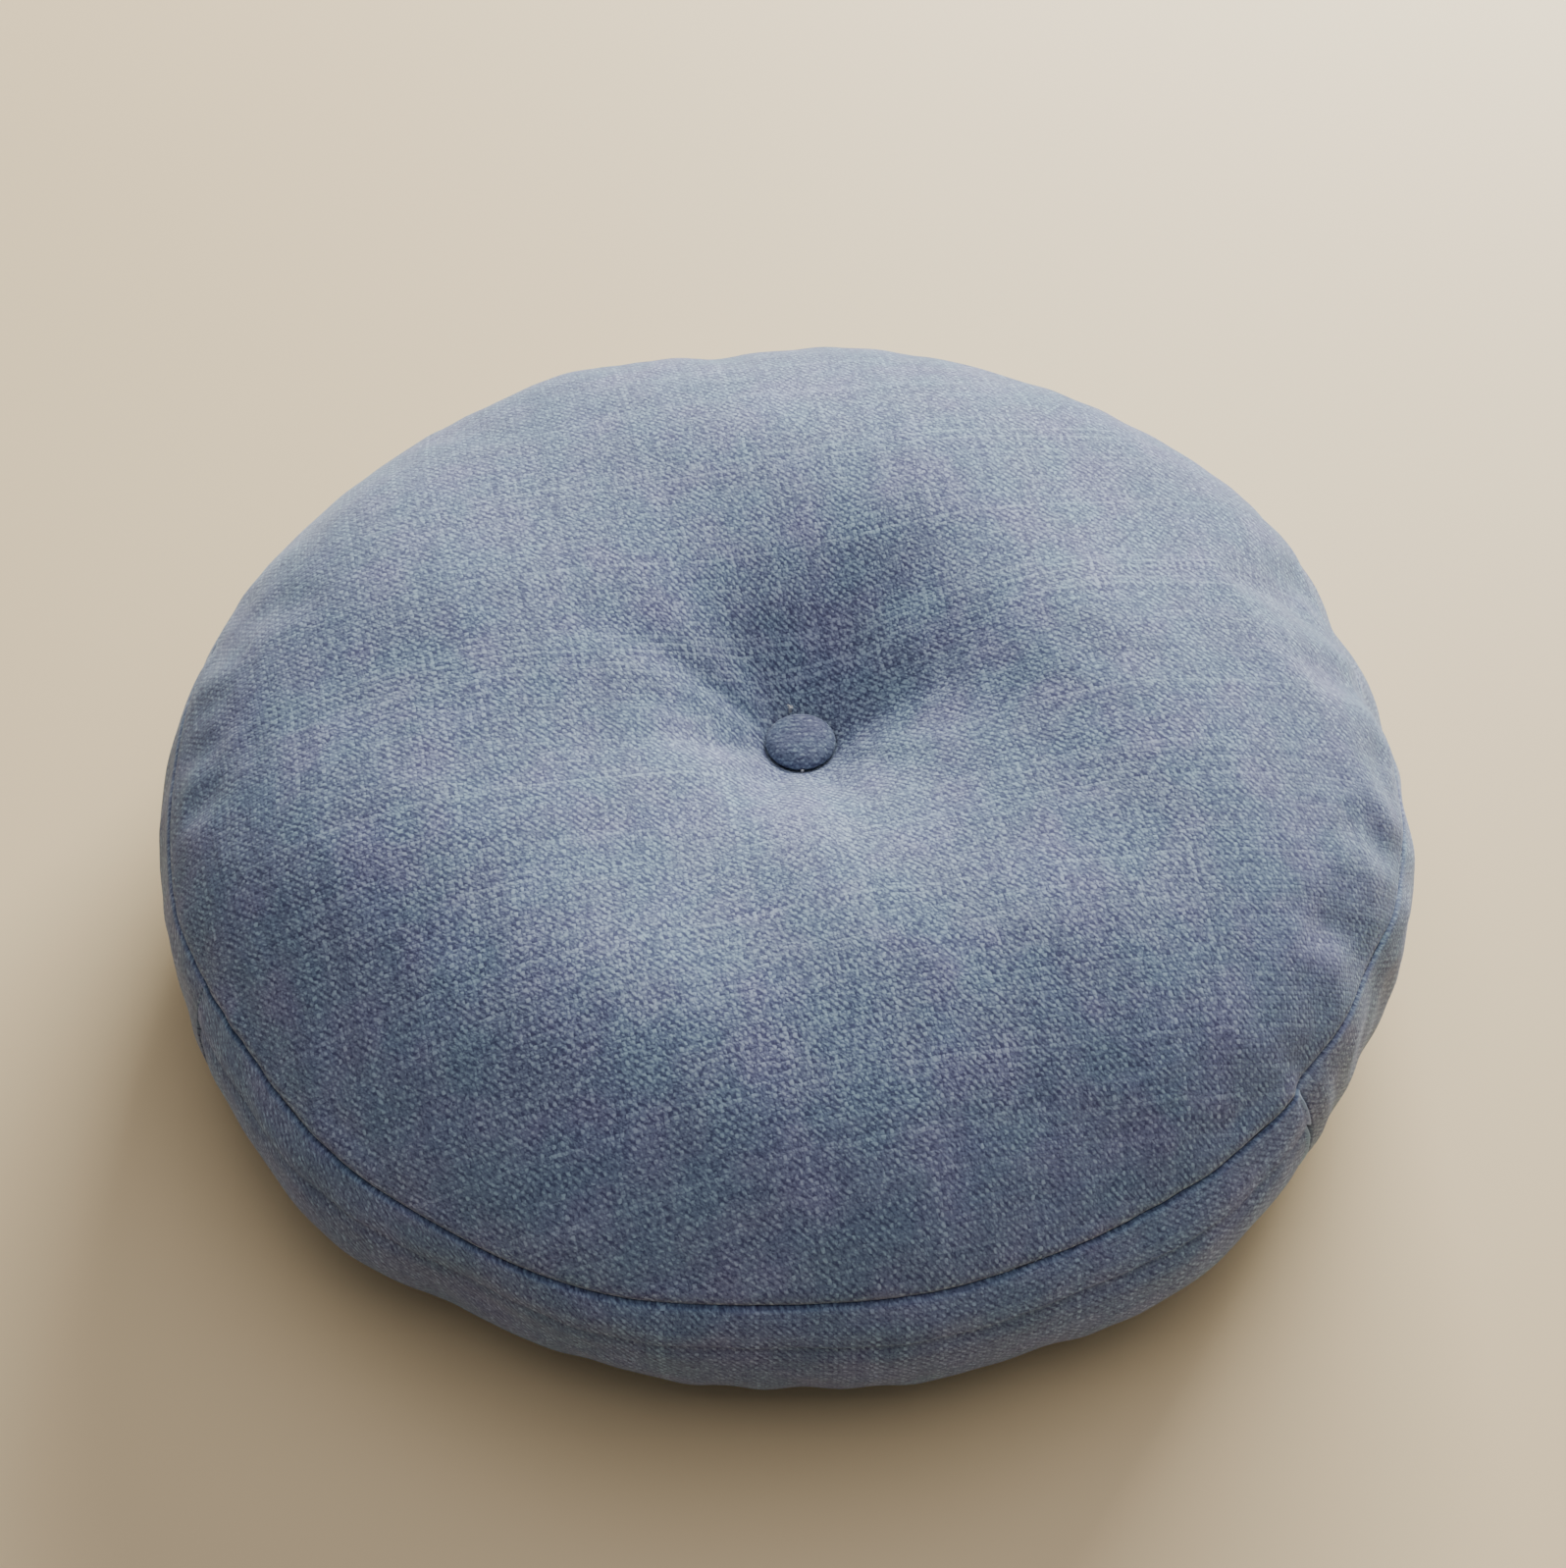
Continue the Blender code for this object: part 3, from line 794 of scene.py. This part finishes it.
# ---- buttons ----------------------------------------------------------------
def button_cloth(name, node, up):
    lo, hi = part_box(node)
    base = lo.z if up > 0 else hi.z
    line = catmull(
        [
            (0.0, 6.35),
            (3.5, 6.28),
            (7.0, 6.0),
            (10.0, 5.4),
            (12.2, 4.45),
            (13.5, 3.2),
            (13.95, 1.9),
            (13.3, 0.75),
            (11.6, 0.3),
            (10.6, 0.35),
        ],
        6,
    )
    line[:, 1] = np.minimum(line[:, 1], 6.8)
    line *= MM
    d = arc(line)
    phi = np.linspace(-math.pi, math.pi, 96, endpoint=False)[None, :]
    gather = ripple(51 if up > 0 else 52, (14, 30), 0.1)(phi)
    under = smoothstep(0.0148, 0.0185, d)[:, None]
    r = line[:, :1] + MM * 0.22 * gather * under
    z = base + up * (line[:, 1:] + MM * 0.12 * gather * under - 0.0)
    ang = np.broadcast_to(phi, r.shape)
    g = np.stack([r * np.cos(ang), r * np.sin(ang), z], -1)
    dd = np.broadcast_to(d[:, None], ang.shape)
    uv = polar_uv(ang, dd, grain=math.radians(48.0)) + 0.31
    if up < 0:
        g, uv = g[::-1], uv[::-1]
    return sheet_object(name, g, uv, True, poles=(True, False), thickness=0.0005)


button_top = button_cloth("top_button_cloth", "top_button_cover", 1)
button_low = button_cloth("bottom_button_cloth", "bottom_button_cover", -1)


# ---- materials --------------------------------------------------------------
class Tree:
    """Short way to write a node tree."""

    def __init__(self, name):
        self.mat = bpy.data.materials.new(name)
        self.mat.use_nodes = True
        self.nt = self.mat.node_tree
        self.bsdf = self.nt.nodes["Principled BSDF"]

    def node(self, kind, **settings):
        n = self.nt.nodes.new(kind)
        for k, v in settings.items():
            setattr(n, k, v)
        return n

    def put(self, socket, value):
        if isinstance(value, bpy.types.NodeSocket):
            self.nt.links.new(value, socket)
        else:
            socket.default_value = value

    def math(self, op, *values, clamp=False):
        n = self.node("ShaderNodeMath", operation=op, use_clamp=clamp)
        for s, v in zip(n.inputs, values):
            self.put(s, v)
        return n.outputs[0]

    def mix(self, factor, a, b, blend="MIX"):
        n = self.node("ShaderNodeMix", data_type="RGBA", blend_type=blend)
        self.put(n.inputs[0], factor)
        self.put(n.inputs[6], a if isinstance(a, bpy.types.NodeSocket) else (*a, 1.0))
        self.put(n.inputs[7], b if isinstance(b, bpy.types.NodeSocket) else (*b, 1.0))
        return n.outputs[2]

    def noise(self, vector, scale, detail=2.0, rough=0.5, out=0):
        n = self.node("ShaderNodeTexNoise")
        self.put(n.inputs["Vector"], vector)
        n.inputs["Scale"].default_value = scale
        n.inputs["Detail"].default_value = detail
        n.inputs["Roughness"].default_value = rough
        return n.outputs[out]

    def combine(self, x, y, z=0.0):
        n = self.node("ShaderNodeCombineXYZ")
        for s, v in zip(n.inputs, (x, y, z)):
            self.put(s, v)
        return n.outputs[0]

    def split(self, vector):
        n = self.node("ShaderNodeSeparateXYZ")
        self.put(n.inputs[0], vector)
        return n.outputs

    def band(self, value, low, high, a=0.0, b=1.0):
        n = self.node("ShaderNodeMapRange", interpolation_type="SMOOTHSTEP")
        for s, v in zip(n.inputs, (value, low, high, a, b)):
            self.put(s, v)
        return n.outputs[0]

    def bump(self, height, distance, strength=1.0, normal=None):
        n = self.node("ShaderNodeBump")
        n.inputs["Distance"].default_value = distance
        n.inputs["Strength"].default_value = strength
        self.put(n.inputs["Height"], height)
        if normal is not None:
            self.put(n.inputs["Normal"], normal)
        return n.outputs[0]


NAVY = (0.073, 0.080, 0.150)
MID = (0.156, 0.185, 0.273)
PALE = (0.352, 0.432, 0.522)


def woven(name, warp=PITCH_WARP, weft=PITCH_WEFT, navy=NAVY, mid=MID, pale=PALE, wear_and_painted_light=None):
    t = Tree(name)
    uv = t.node("ShaderNodeUVMap", uv_map="cloth").outputs[0]
    x, y, _ = t.split(uv)
    # threads wander a little, slowly and from one crossing to the next
    wob = t.noise(uv, 55.0, 2.0, 0.5, 1)
    wx, wy, _ = t.split(wob)
    jit = t.noise(uv, 420.0, 1.0, 0.5, 1)
    jx, jy, _ = t.split(jit)
    U = t.math("ADD", t.math("DIVIDE", x, warp), t.math("MULTIPLY", t.math("SUBTRACT", wx, 0.5), 1.6))
    V = t.math("ADD", t.math("DIVIDE", y, weft), t.math("MULTIPLY", t.math("SUBTRACT", wy, 0.5), 1.6))
    U = t.math("ADD", U, t.math("MULTIPLY", t.math("SUBTRACT", jx, 0.5), 0.7))
    V = t.math("ADD", V, t.math("MULTIPLY", t.math("SUBTRACT", jy, 0.5), 0.7))
    iu, iv = t.math("FLOOR", U), t.math("FLOOR", V)
    su = t.math("SINE", t.math("MULTIPLY", U, math.pi))
    sv = t.math("SINE", t.math("MULTIPLY", V, math.pi))
    au, av = t.math("ABSOLUTE", su), t.math("ABSOLUTE", sv)
    gu, gv = t.math("SIGN", su), t.math("SIGN", sv)

    # each thread's own thickness along its length: slubs
    def thread(index, along, seed):
        v = t.combine(t.math("MULTIPLY", index, 3.71), t.math("MULTIPLY", along, 26.0), seed)
        slow = t.noise(v, 1.0, 1.5, 0.5)
        own = t.node("ShaderNodeTexWhiteNoise", noise_dimensions="2D")
        t.put(own.inputs["Vector"], t.combine(index, seed))
        return slow, own.outputs[0]

    slub_w, own_w = thread(iu, y, 2.0)
    slub_f, own_f = thread(iv, x, 9.0)
    lift_w = t.math("MULTIPLY", t.math("SUBTRACT", slub_w, 0.5), 0.25)
    lift_f = t.math("MULTIPLY", t.math("SUBTRACT", slub_f, 0.5), 0.25)
    hw = t.math("ADD", t.math("ADD", t.math("MULTIPLY", au, 0.55), t.math("MULTIPLY", t.math("MULTIPLY", sv, gu), 0.42)), lift_w)
    hf = t.math("ADD", t.math("SUBTRACT", t.math("MULTIPLY", av, 0.55), t.math("MULTIPLY", t.math("MULTIPLY", su, gv), 0.42)), lift_f)
    height = t.math("MAXIMUM", hw, hf)
    is_warp = t.band(t.math("SUBTRACT", hw, hf), -0.12, 0.12)
    # where floats run together they make short slanting strokes, some strong, some lost
    slant = t.math("COSINE", t.math("MULTIPLY", t.math("ADD", U, V), math.pi))
    # the yarn's twist lays its fibres slantwise, the same way in warp and weft
    across = t.math("ADD", U, V)
    along = t.math("SUBTRACT", U, V)
    fib_w = t.noise(t.combine(t.math("MULTIPLY", across, 1.2), t.math("MULTIPLY", along, 0.42), 1.0), 1.0, 2.0, 0.6)
    fib_f = t.noise(t.combine(t.math("MULTIPLY", across, 1.2), t.math("MULTIPLY", along, 0.42), 5.0), 1.0, 2.0, 0.6)
    knot = t.node("ShaderNodeTexWhiteNoise", noise_dimensions="2D")
    t.put(knot.inputs["Vector"], t.combine(iu, iv))
    patchy = t.noise(t.combine(t.math("MULTIPLY", across, 0.35), t.math("MULTIPLY", along, 0.22), 7.0), 1.0, 1.0, 0.5)
    stroke = t.math("MULTIPLY", slant, t.band(patchy, 0.38, 0.66, 0.02, 0.30))
    patchy2 = t.noise(t.combine(t.math("MULTIPLY", across, 0.22), t.math("MULTIPLY", along, 0.35), 17.0), 1.0, 1.0, 0.5)
    other = t.math("COSINE", t.math("MULTIPLY", along, math.pi))
    stroke = t.math("SUBTRACT", stroke, t.math("MULTIPLY", other, t.band(patchy2, 0.42, 0.66, 0.0, 0.10)))

    def yarn(own, slub, fib, base):
        # a few threads in a hundred are paler from end to end
        rare = t.band(own, 0.91, 0.99, 0.0, 0.18)
        v = t.math("ADD", t.math("MULTIPLY", t.math("SUBTRACT", own, 0.5), 0.24), t.math("MULTIPLY", t.math("SUBTRACT", slub, 0.5), 0.36))
        v = t.math("ADD", v, t.math("MULTIPLY", t.math("SUBTRACT", fib, 0.5), 2.7))
        v = t.math("SUBTRACT", v, stroke)
        v = t.math("ADD", v, t.math("MULTIPLY", t.math("SUBTRACT", knot.outputs[0], 0.5), 0.26))
        return t.math("ADD", t.math("ADD", v, rare), base)

    tone = t.node("ShaderNodeMix", data_type="FLOAT")
    t.put(tone.inputs[0], is_warp)
    t.put(tone.inputs[2], yarn(own_f, slub_f, fib_f, 0.43))
    t.put(tone.inputs[3], yarn(own_w, slub_w, fib_w, 0.51))
    tone = tone.outputs[0]
    # painted shade and painted highlight of the weave's relief: the hollows between threads are darkened and the crowns
    # lightened
    deep = t.band(height, 0.05, 0.95, -0.17, 0.08)
    tone = t.math("ADD", tone, deep)
    # painted light and shade in the weave's contrast: its colour contrast is raised in the middle and lowered from the
    # rim outwards, standing in for the weave's relief lit in the middle and flat in the rim's shade
    span = t.node("ShaderNodeVectorMath", operation="LENGTH")
    t.put(span.inputs[0], uv)
    painted_light_contrast = t.band(span.outputs["Value"], 0.16, 0.25, 1.12, 0.74)
    tone = t.math("ADD", t.math("MULTIPLY", t.math("SUBTRACT", tone, 0.40), painted_light_contrast), 0.40)
    if wear_and_painted_light is not None:
        # the ridge of a fold is painted paler: partly rubbed wear, partly a painted highlight where the lamps leave the
        # ridge in shade
        off = t.math("ABSOLUTE", t.math("SUBTRACT", x, wear_and_painted_light[0]))
        ragged = t.noise(uv, 900.0, 2.0, 0.5)
        tone = t.math("ADD", tone, t.math("MULTIPLY", t.band(off, 0.0, wear_and_painted_light[1], 1.9, 0.0), ragged))
    dark = t.mix(t.band(tone, 0.0, 0.48), navy, mid)
    col = t.mix(t.band(tone, 0.42, 1.05), dark, pale)
    # dye lots and handling: broad drifts towards green-grey and violet
    drift = t.noise(uv, 34.0, 2.5, 0.55)
    col = t.mix(t.band(drift, 0.40, 0.62), col, t.mix(1.0, col, (0.925, 1.02, 1.0), "MULTIPLY"))
    drift2 = t.noise(t.combine(t.math("ADD", x, 3.7), y, 0.0), 30.0, 2.5, 0.55)
    col = t.mix(t.band(drift2, 0.42, 0.66), col, t.mix(1.0, col, (1.09, 0.985, 1.05), "MULTIPLY"))
    if wear_and_painted_light is not None:
        # painted shade: the cloth's colour is darkened along the edge that rolls into the top seam, to hold down the
        # light that edge catches
        edge = t.band(t.math("SUBTRACT", -S_SEAM, y), 0.0006, 0.0028, 0.62, 1.0)
        col = t.mix(1.0, col, t.combine(edge, edge, edge), "MULTIPLY")
    t.put(t.bsdf.inputs["Base Color"], col)
    rough = t.band(fib_w, 0.3, 0.7, 0.82, 0.96)
    t.put(t.bsdf.inputs["Roughness"], rough)
    fuzz = t.math("MULTIPLY", t.noise(uv, 2600.0, 1.0), 0.18)
    h = t.math("ADD", height, fuzz)
    t.put(t.bsdf.inputs["Normal"], t.bump(h, 0.00013, 0.7))
    t.bsdf.inputs["Sheen Weight"].default_value = 0.32
    t.bsdf.inputs["Sheen Roughness"].default_value = 0.45
    t.bsdf.inputs["Sheen Tint"].default_value = (0.70, 0.77, 0.86, 1.0)
    t.bsdf.inputs["Specular IOR Level"].default_value = 0.25
    return t.mat


def object_coords(t):
    return t.node("ShaderNodeTexCoord").outputs["Object"]


def thread_material(name, dark, light, twist=900.0):
    """Twisted thread: slanting plies and a little fuzz."""
    t = Tree(name)
    p = object_coords(t)
    wave = t.node("ShaderNodeTexWave", wave_type="BANDS", bands_direction="DIAGONAL")
    t.put(wave.inputs["Vector"], p)
    wave.inputs["Scale"].default_value = twist
    wave.inputs["Distortion"].default_value = 1.2
    fuzz = t.noise(p, 3200.0, 2.0)
    f = t.math("MULTIPLY", t.math("ADD", wave.outputs["Fac"], fuzz), 0.5)
    t.put(t.bsdf.inputs["Base Color"], t.mix(t.band(f, 0.25, 0.75), dark, light))
    t.put(t.bsdf.inputs["Roughness"], t.band(fuzz, 0.3, 0.7, 0.6, 0.8))
    t.put(t.bsdf.inputs["Normal"], t.bump(f, 0.0002, 0.8))
    t.bsdf.inputs["Sheen Weight"].default_value = 0.2
    return t.mat


def non_woven(name):
    """White spun-bond cloth with its grid of small welded dots."""
    t = Tree(name)
    uv = t.node("ShaderNodeUVMap", uv_map="cloth").outputs[0]
    cell = t.node("ShaderNodeTexVoronoi", feature="F1")
    t.put(cell.inputs["Vector"], uv)
    cell.inputs["Scale"].default_value = 420.0
    cell.inputs["Randomness"].default_value = 0.15
    dot = t.band(cell.outputs["Distance"], 0.16, 0.32)
    fibre = t.noise(uv, 900.0, 4.0, 0.7)
    col = t.mix(dot, (0.62, 0.62, 0.60), (0.80, 0.80, 0.78))
    col = t.mix(t.band(fibre, 0.35, 0.65, 0.0, 0.25), col, (0.90, 0.90, 0.88))
    t.put(t.bsdf.inputs["Base Color"], col)
    t.put(t.bsdf.inputs["Roughness"], t.band(fibre, 0.3, 0.7, 0.7, 0.92))
    h = t.math("ADD", dot, t.math("MULTIPLY", fibre, 0.4))
    t.put(t.bsdf.inputs["Normal"], t.bump(h, 0.0002, 0.7))
    return t.mat


def wadding(name):
    """Lofted fibre: tangled strands over soft clumps."""
    t = Tree(name)
    p = object_coords(t)
    clump = t.noise(p, 40.0, 3.0)
    tangle = t.noise(p, 700.0, 5.0, 0.75)
    t.put(t.bsdf.inputs["Base Color"], t.mix(t.band(tangle, 0.3, 0.7), (0.66, 0.66, 0.64), (0.88, 0.88, 0.86)))
    t.put(t.bsdf.inputs["Roughness"], t.band(tangle, 0.3, 0.7, 0.88, 1.0))
    h = t.math("ADD", t.math("MULTIPLY", clump, 2.0), tangle)
    t.put(t.bsdf.inputs["Normal"], t.bump(h, 0.0012, 0.8))
    return t.mat


def metal(name, tint, rough=(0.22, 0.42), scale=260.0):
    """Plated steel: fine drawn scratches and a few dull patches."""
    t = Tree(name)
    p = object_coords(t)
    x, y, z = t.split(p)
    streak = t.noise(t.combine(t.math("MULTIPLY", x, 6.0), t.math("MULTIPLY", y, 1.0), t.math("MULTIPLY", z, 9.0)), scale * 4, 3.0)
    patch = t.noise(p, scale, 2.0)
    t.put(t.bsdf.inputs["Base Color"], t.mix(t.band(patch, 0.35, 0.7), tint, tuple(c * 0.8 for c in tint)))
    t.put(t.bsdf.inputs["Roughness"], t.band(t.math("ADD", t.math("MULTIPLY", streak, 0.6), t.math("MULTIPLY", patch, 0.4)), 0.35, 0.65, *rough))
    t.put(t.bsdf.inputs["Normal"], t.bump(streak, 0.00004, 0.5))
    t.bsdf.inputs["Metallic"].default_value = 1.0
    return t.mat


def tape(name):
    """Zip tape: fine ribs along it with a herringbone cross weave."""
    t = Tree(name)
    p = object_coords(t)
    x, y, z = t.split(p)
    ribs = t.math("SINE", t.math("MULTIPLY", z, 2 * math.pi / 0.0008))
    ang = t.math("ARCTAN2", y, x)
    cross = t.math("SINE", t.math("ADD", t.math("MULTIPLY", ang, 1900.0), t.math("MULTIPLY", ribs, 1.2)))
    h = t.math("ADD", t.math("MULTIPLY", ribs, 0.5), t.math("MULTIPLY", cross, 0.5))
    n = t.noise(p, 800.0, 2.0)
    t.put(t.bsdf.inputs["Base Color"], t.mix(t.band(t.math("ADD", h, n), -0.3, 1.4), (0.035, 0.05, 0.09), (0.11, 0.145, 0.22)))
    t.put(t.bsdf.inputs["Roughness"], t.band(n, 0.3, 0.7, 0.65, 0.85))
    t.put(t.bsdf.inputs["Normal"], t.bump(h, 0.00015, 0.7))
    return t.mat


def coil(name):
    """Nylon coil: one tooth each 1.1 mm round the band."""
    t = Tree(name)
    p = object_coords(t)
    x, y, z = t.split(p)
    ang = t.math("ARCTAN2", y, x)
    teeth = t.math("SINE", t.math("MULTIPLY", ang, 2 * math.pi / 0.0046))
    n = t.noise(p, 500.0, 2.0)
    t.put(t.bsdf.inputs["Base Color"], t.mix(t.band(t.math("ADD", teeth, n), -0.8, 1.2), (0.03, 0.045, 0.085), (0.10, 0.135, 0.21)))
    t.put(t.bsdf.inputs["Roughness"], t.band(n, 0.3, 0.7, 0.32, 0.5))
    t.put(t.bsdf.inputs["Normal"], t.bump(teeth, 0.0004, 0.8))
    return t.mat


cover_cloth = woven("cover_cloth")
thread_blue = thread_material("seam_thread", (0.012, 0.016, 0.032), (0.036, 0.046, 0.082))
thread_white = thread_material("white_cord", (0.62, 0.62, 0.60), (0.88, 0.88, 0.86), 1400.0)
# the zip strips' cloth is tinted towards blue: a painted light tint standing in for cool light on the band
bluer_painted_light = [tuple(v * b for v, b in zip(c, (0.99, 1.05, 1.17))) for c in (NAVY, MID, PALE)]
# the flap's cloth: a pale ridge at the right join, partly wear and partly a painted highlight, and painted shade along
# its rolled edge at the top seam
flap_cloth = woven(
    "cover_cloth_flap",
    navy=bluer_painted_light[0],
    mid=bluer_painted_light[1],
    pale=bluer_painted_light[2],
    wear_and_painted_light=(JOIN_R * R_BULGE - 0.00125, 0.0018),
)
# painted shade: the buttons' cloth is a 0.84 times dimmer copy of the cover cloth, for a button sunk in the dimple's
# shade
button_painted_shade = [tuple(0.84 * v for v in c) for c in (NAVY, MID, PALE)]
button_cover = woven("cover_cloth_button_painted_shade", navy=button_painted_shade[0], mid=button_painted_shade[1], pale=button_painted_shade[2])
casing_mat = non_woven("casing_cloth")
wadding_mat = wadding("filling")
button_steel = metal("button_metal", (0.62, 0.62, 0.62))
zip_nickel = metal("zip_metal", (0.70, 0.70, 0.71), (0.16, 0.32))
tape_mat = tape("zip_tape")
coil_mat = coil("zip_coil")


def finish_with(obj, mat):
    obj.data.materials.clear()
    obj.data.materials.append(mat)


for obj, body, mat, slot, nodes in (
    (top, "cushion", cover_cloth, "cover_cloth", ["cover_top_panel"]),
    (side, "cushion", cover_cloth, "cover_cloth", ["side_band"]),
    (flap, "cushion", flap_cloth, "cover_cloth", ["zip_band_upper"]),
    (lower, "cushion", flap_cloth, "cover_cloth", ["zip_band_lower"]),
    (bottom, "cushion", cover_cloth, "cover_cloth", ["cover_bottom_panel"]),
    (casing_up, "cushion", casing_mat, "casing_cloth", ["inner_casing_upper"]),
    (casing_low, "cushion", casing_mat, "casing_cloth", ["inner_casing_lower"]),
    (filling, "cushion", wadding_mat, "filling", ["filling_pad"]),
    (thread_top, "cushion", thread_blue, "seam_thread", ["top_seam_thread"]),
    (thread_low, "cushion", thread_blue, "seam_thread", ["bottom_seam_thread"]),
    (thread_left, "cushion", thread_blue, "seam_thread", ["left_join_thread"]),
    (thread_right, "cushion", thread_blue, "seam_thread", ["right_join_thread"]),
    (tail, "cushion", thread_white, "white_cord", ["tufting_cord_end"]),
    (button_top, "top_button", button_cover, "cover_cloth", ["top_button_cover"]),
    (button_low, "bottom_button", button_cover, "cover_cloth", ["bottom_button_cover"]),
):
    finish_with(obj, mat)
    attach(obj, body)
    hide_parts(*nodes)

NODE_MATERIAL = {
    "tufting_cord": thread_white,
    "zip_tape_upper": tape_mat,
    "zip_tape_lower": tape_mat,
    "zip_coil_upper": coil_mat,
    "zip_coil_lower": coil_mat,
    "zip_slider": zip_nickel,
    "zip_pull_tab": zip_nickel,
    "zip_stop_left": zip_nickel,
    "zip_stop_right": zip_nickel,
}
for prefix in ("top_button", "bottom_button"):
    for part in ("shell", "back_plate", "loop"):
        NODE_MATERIAL[f"{prefix}_{part}"] = button_steel
for name, mat in NODE_MATERIAL.items():
    node = frame["nodes"][name]
    if node.material_slots:
        for slot in node.material_slots:
            slot.link = "OBJECT"
            slot.material = mat
    else:
        node.data.materials.append(mat)


# ---- stage, light and camera ------------------------------------------------
def floor_material():
    t = Tree("floor")
    p = object_coords(t)
    n = t.noise(p, 3.0, 2.0)
    t.put(t.bsdf.inputs["Base Color"], t.mix(n, (0.88, 0.665, 0.375), (0.92, 0.70, 0.40)))
    t.bsdf.inputs["Roughness"].default_value = 0.55
    t.bsdf.inputs["Specular IOR Level"].default_value = 0.3
    return t.mat


bpy.ops.mesh.primitive_plane_add(size=14.0, location=(0, 0, -0.0003))
floor = bpy.context.object
floor.name = "floor"
floor.data.materials.append(floor_material())


def area(name, place, aim, power, size, color):
    data = bpy.data.lights.new(name, "AREA")
    data.energy = power
    data.shape = "RECTANGLE"
    data.size, data.size_y = size
    data.color = color
    obj = bpy.data.objects.new(name, data)
    obj.location = place
    obj.rotation_euler = (Vector(aim) - Vector(place)).to_track_quat("-Z", "Y").to_euler()
    bpy.context.scene.collection.objects.link(obj)
    return obj


area("window", (0.86, 2.37, 1.02), (0, 0, 0.05), 204.0, (1.8, 1.1), (0.935, 0.98, 1.0))
area("overhead", (0.25, 0.0, 2.1), (0, 0, 0), 23.0, (2.4, 2.4), (1.0, 0.97, 0.99))
world = bpy.data.worlds.new("studio")
world.use_nodes = True
bg = world.node_tree.nodes["Background"]
bg.inputs["Color"].default_value = (0.87, 0.95, 1.12, 1.0)
bg.inputs["Strength"].default_value = 0.145
bpy.context.scene.world = world

cam_data = bpy.data.cameras.new("camera")
cam_data.sensor_fit = "HORIZONTAL"
cam_data.sensor_width = 36.0
cam_data.lens = 76.4
cam_data.clip_start = 0.05
cam = bpy.data.objects.new("camera", cam_data)
bpy.context.scene.collection.objects.link(cam)
cam.location = (-0.00696, -0.83963, 1.13971)
aim = Vector((-0.00015, 0.62524, -0.78043))
cam.rotation_euler = aim.to_track_quat("-Z", "Y").to_euler()
cam.rotation_euler.rotate_axis("Z", math.radians(-0.565))
bpy.context.scene.camera = cam
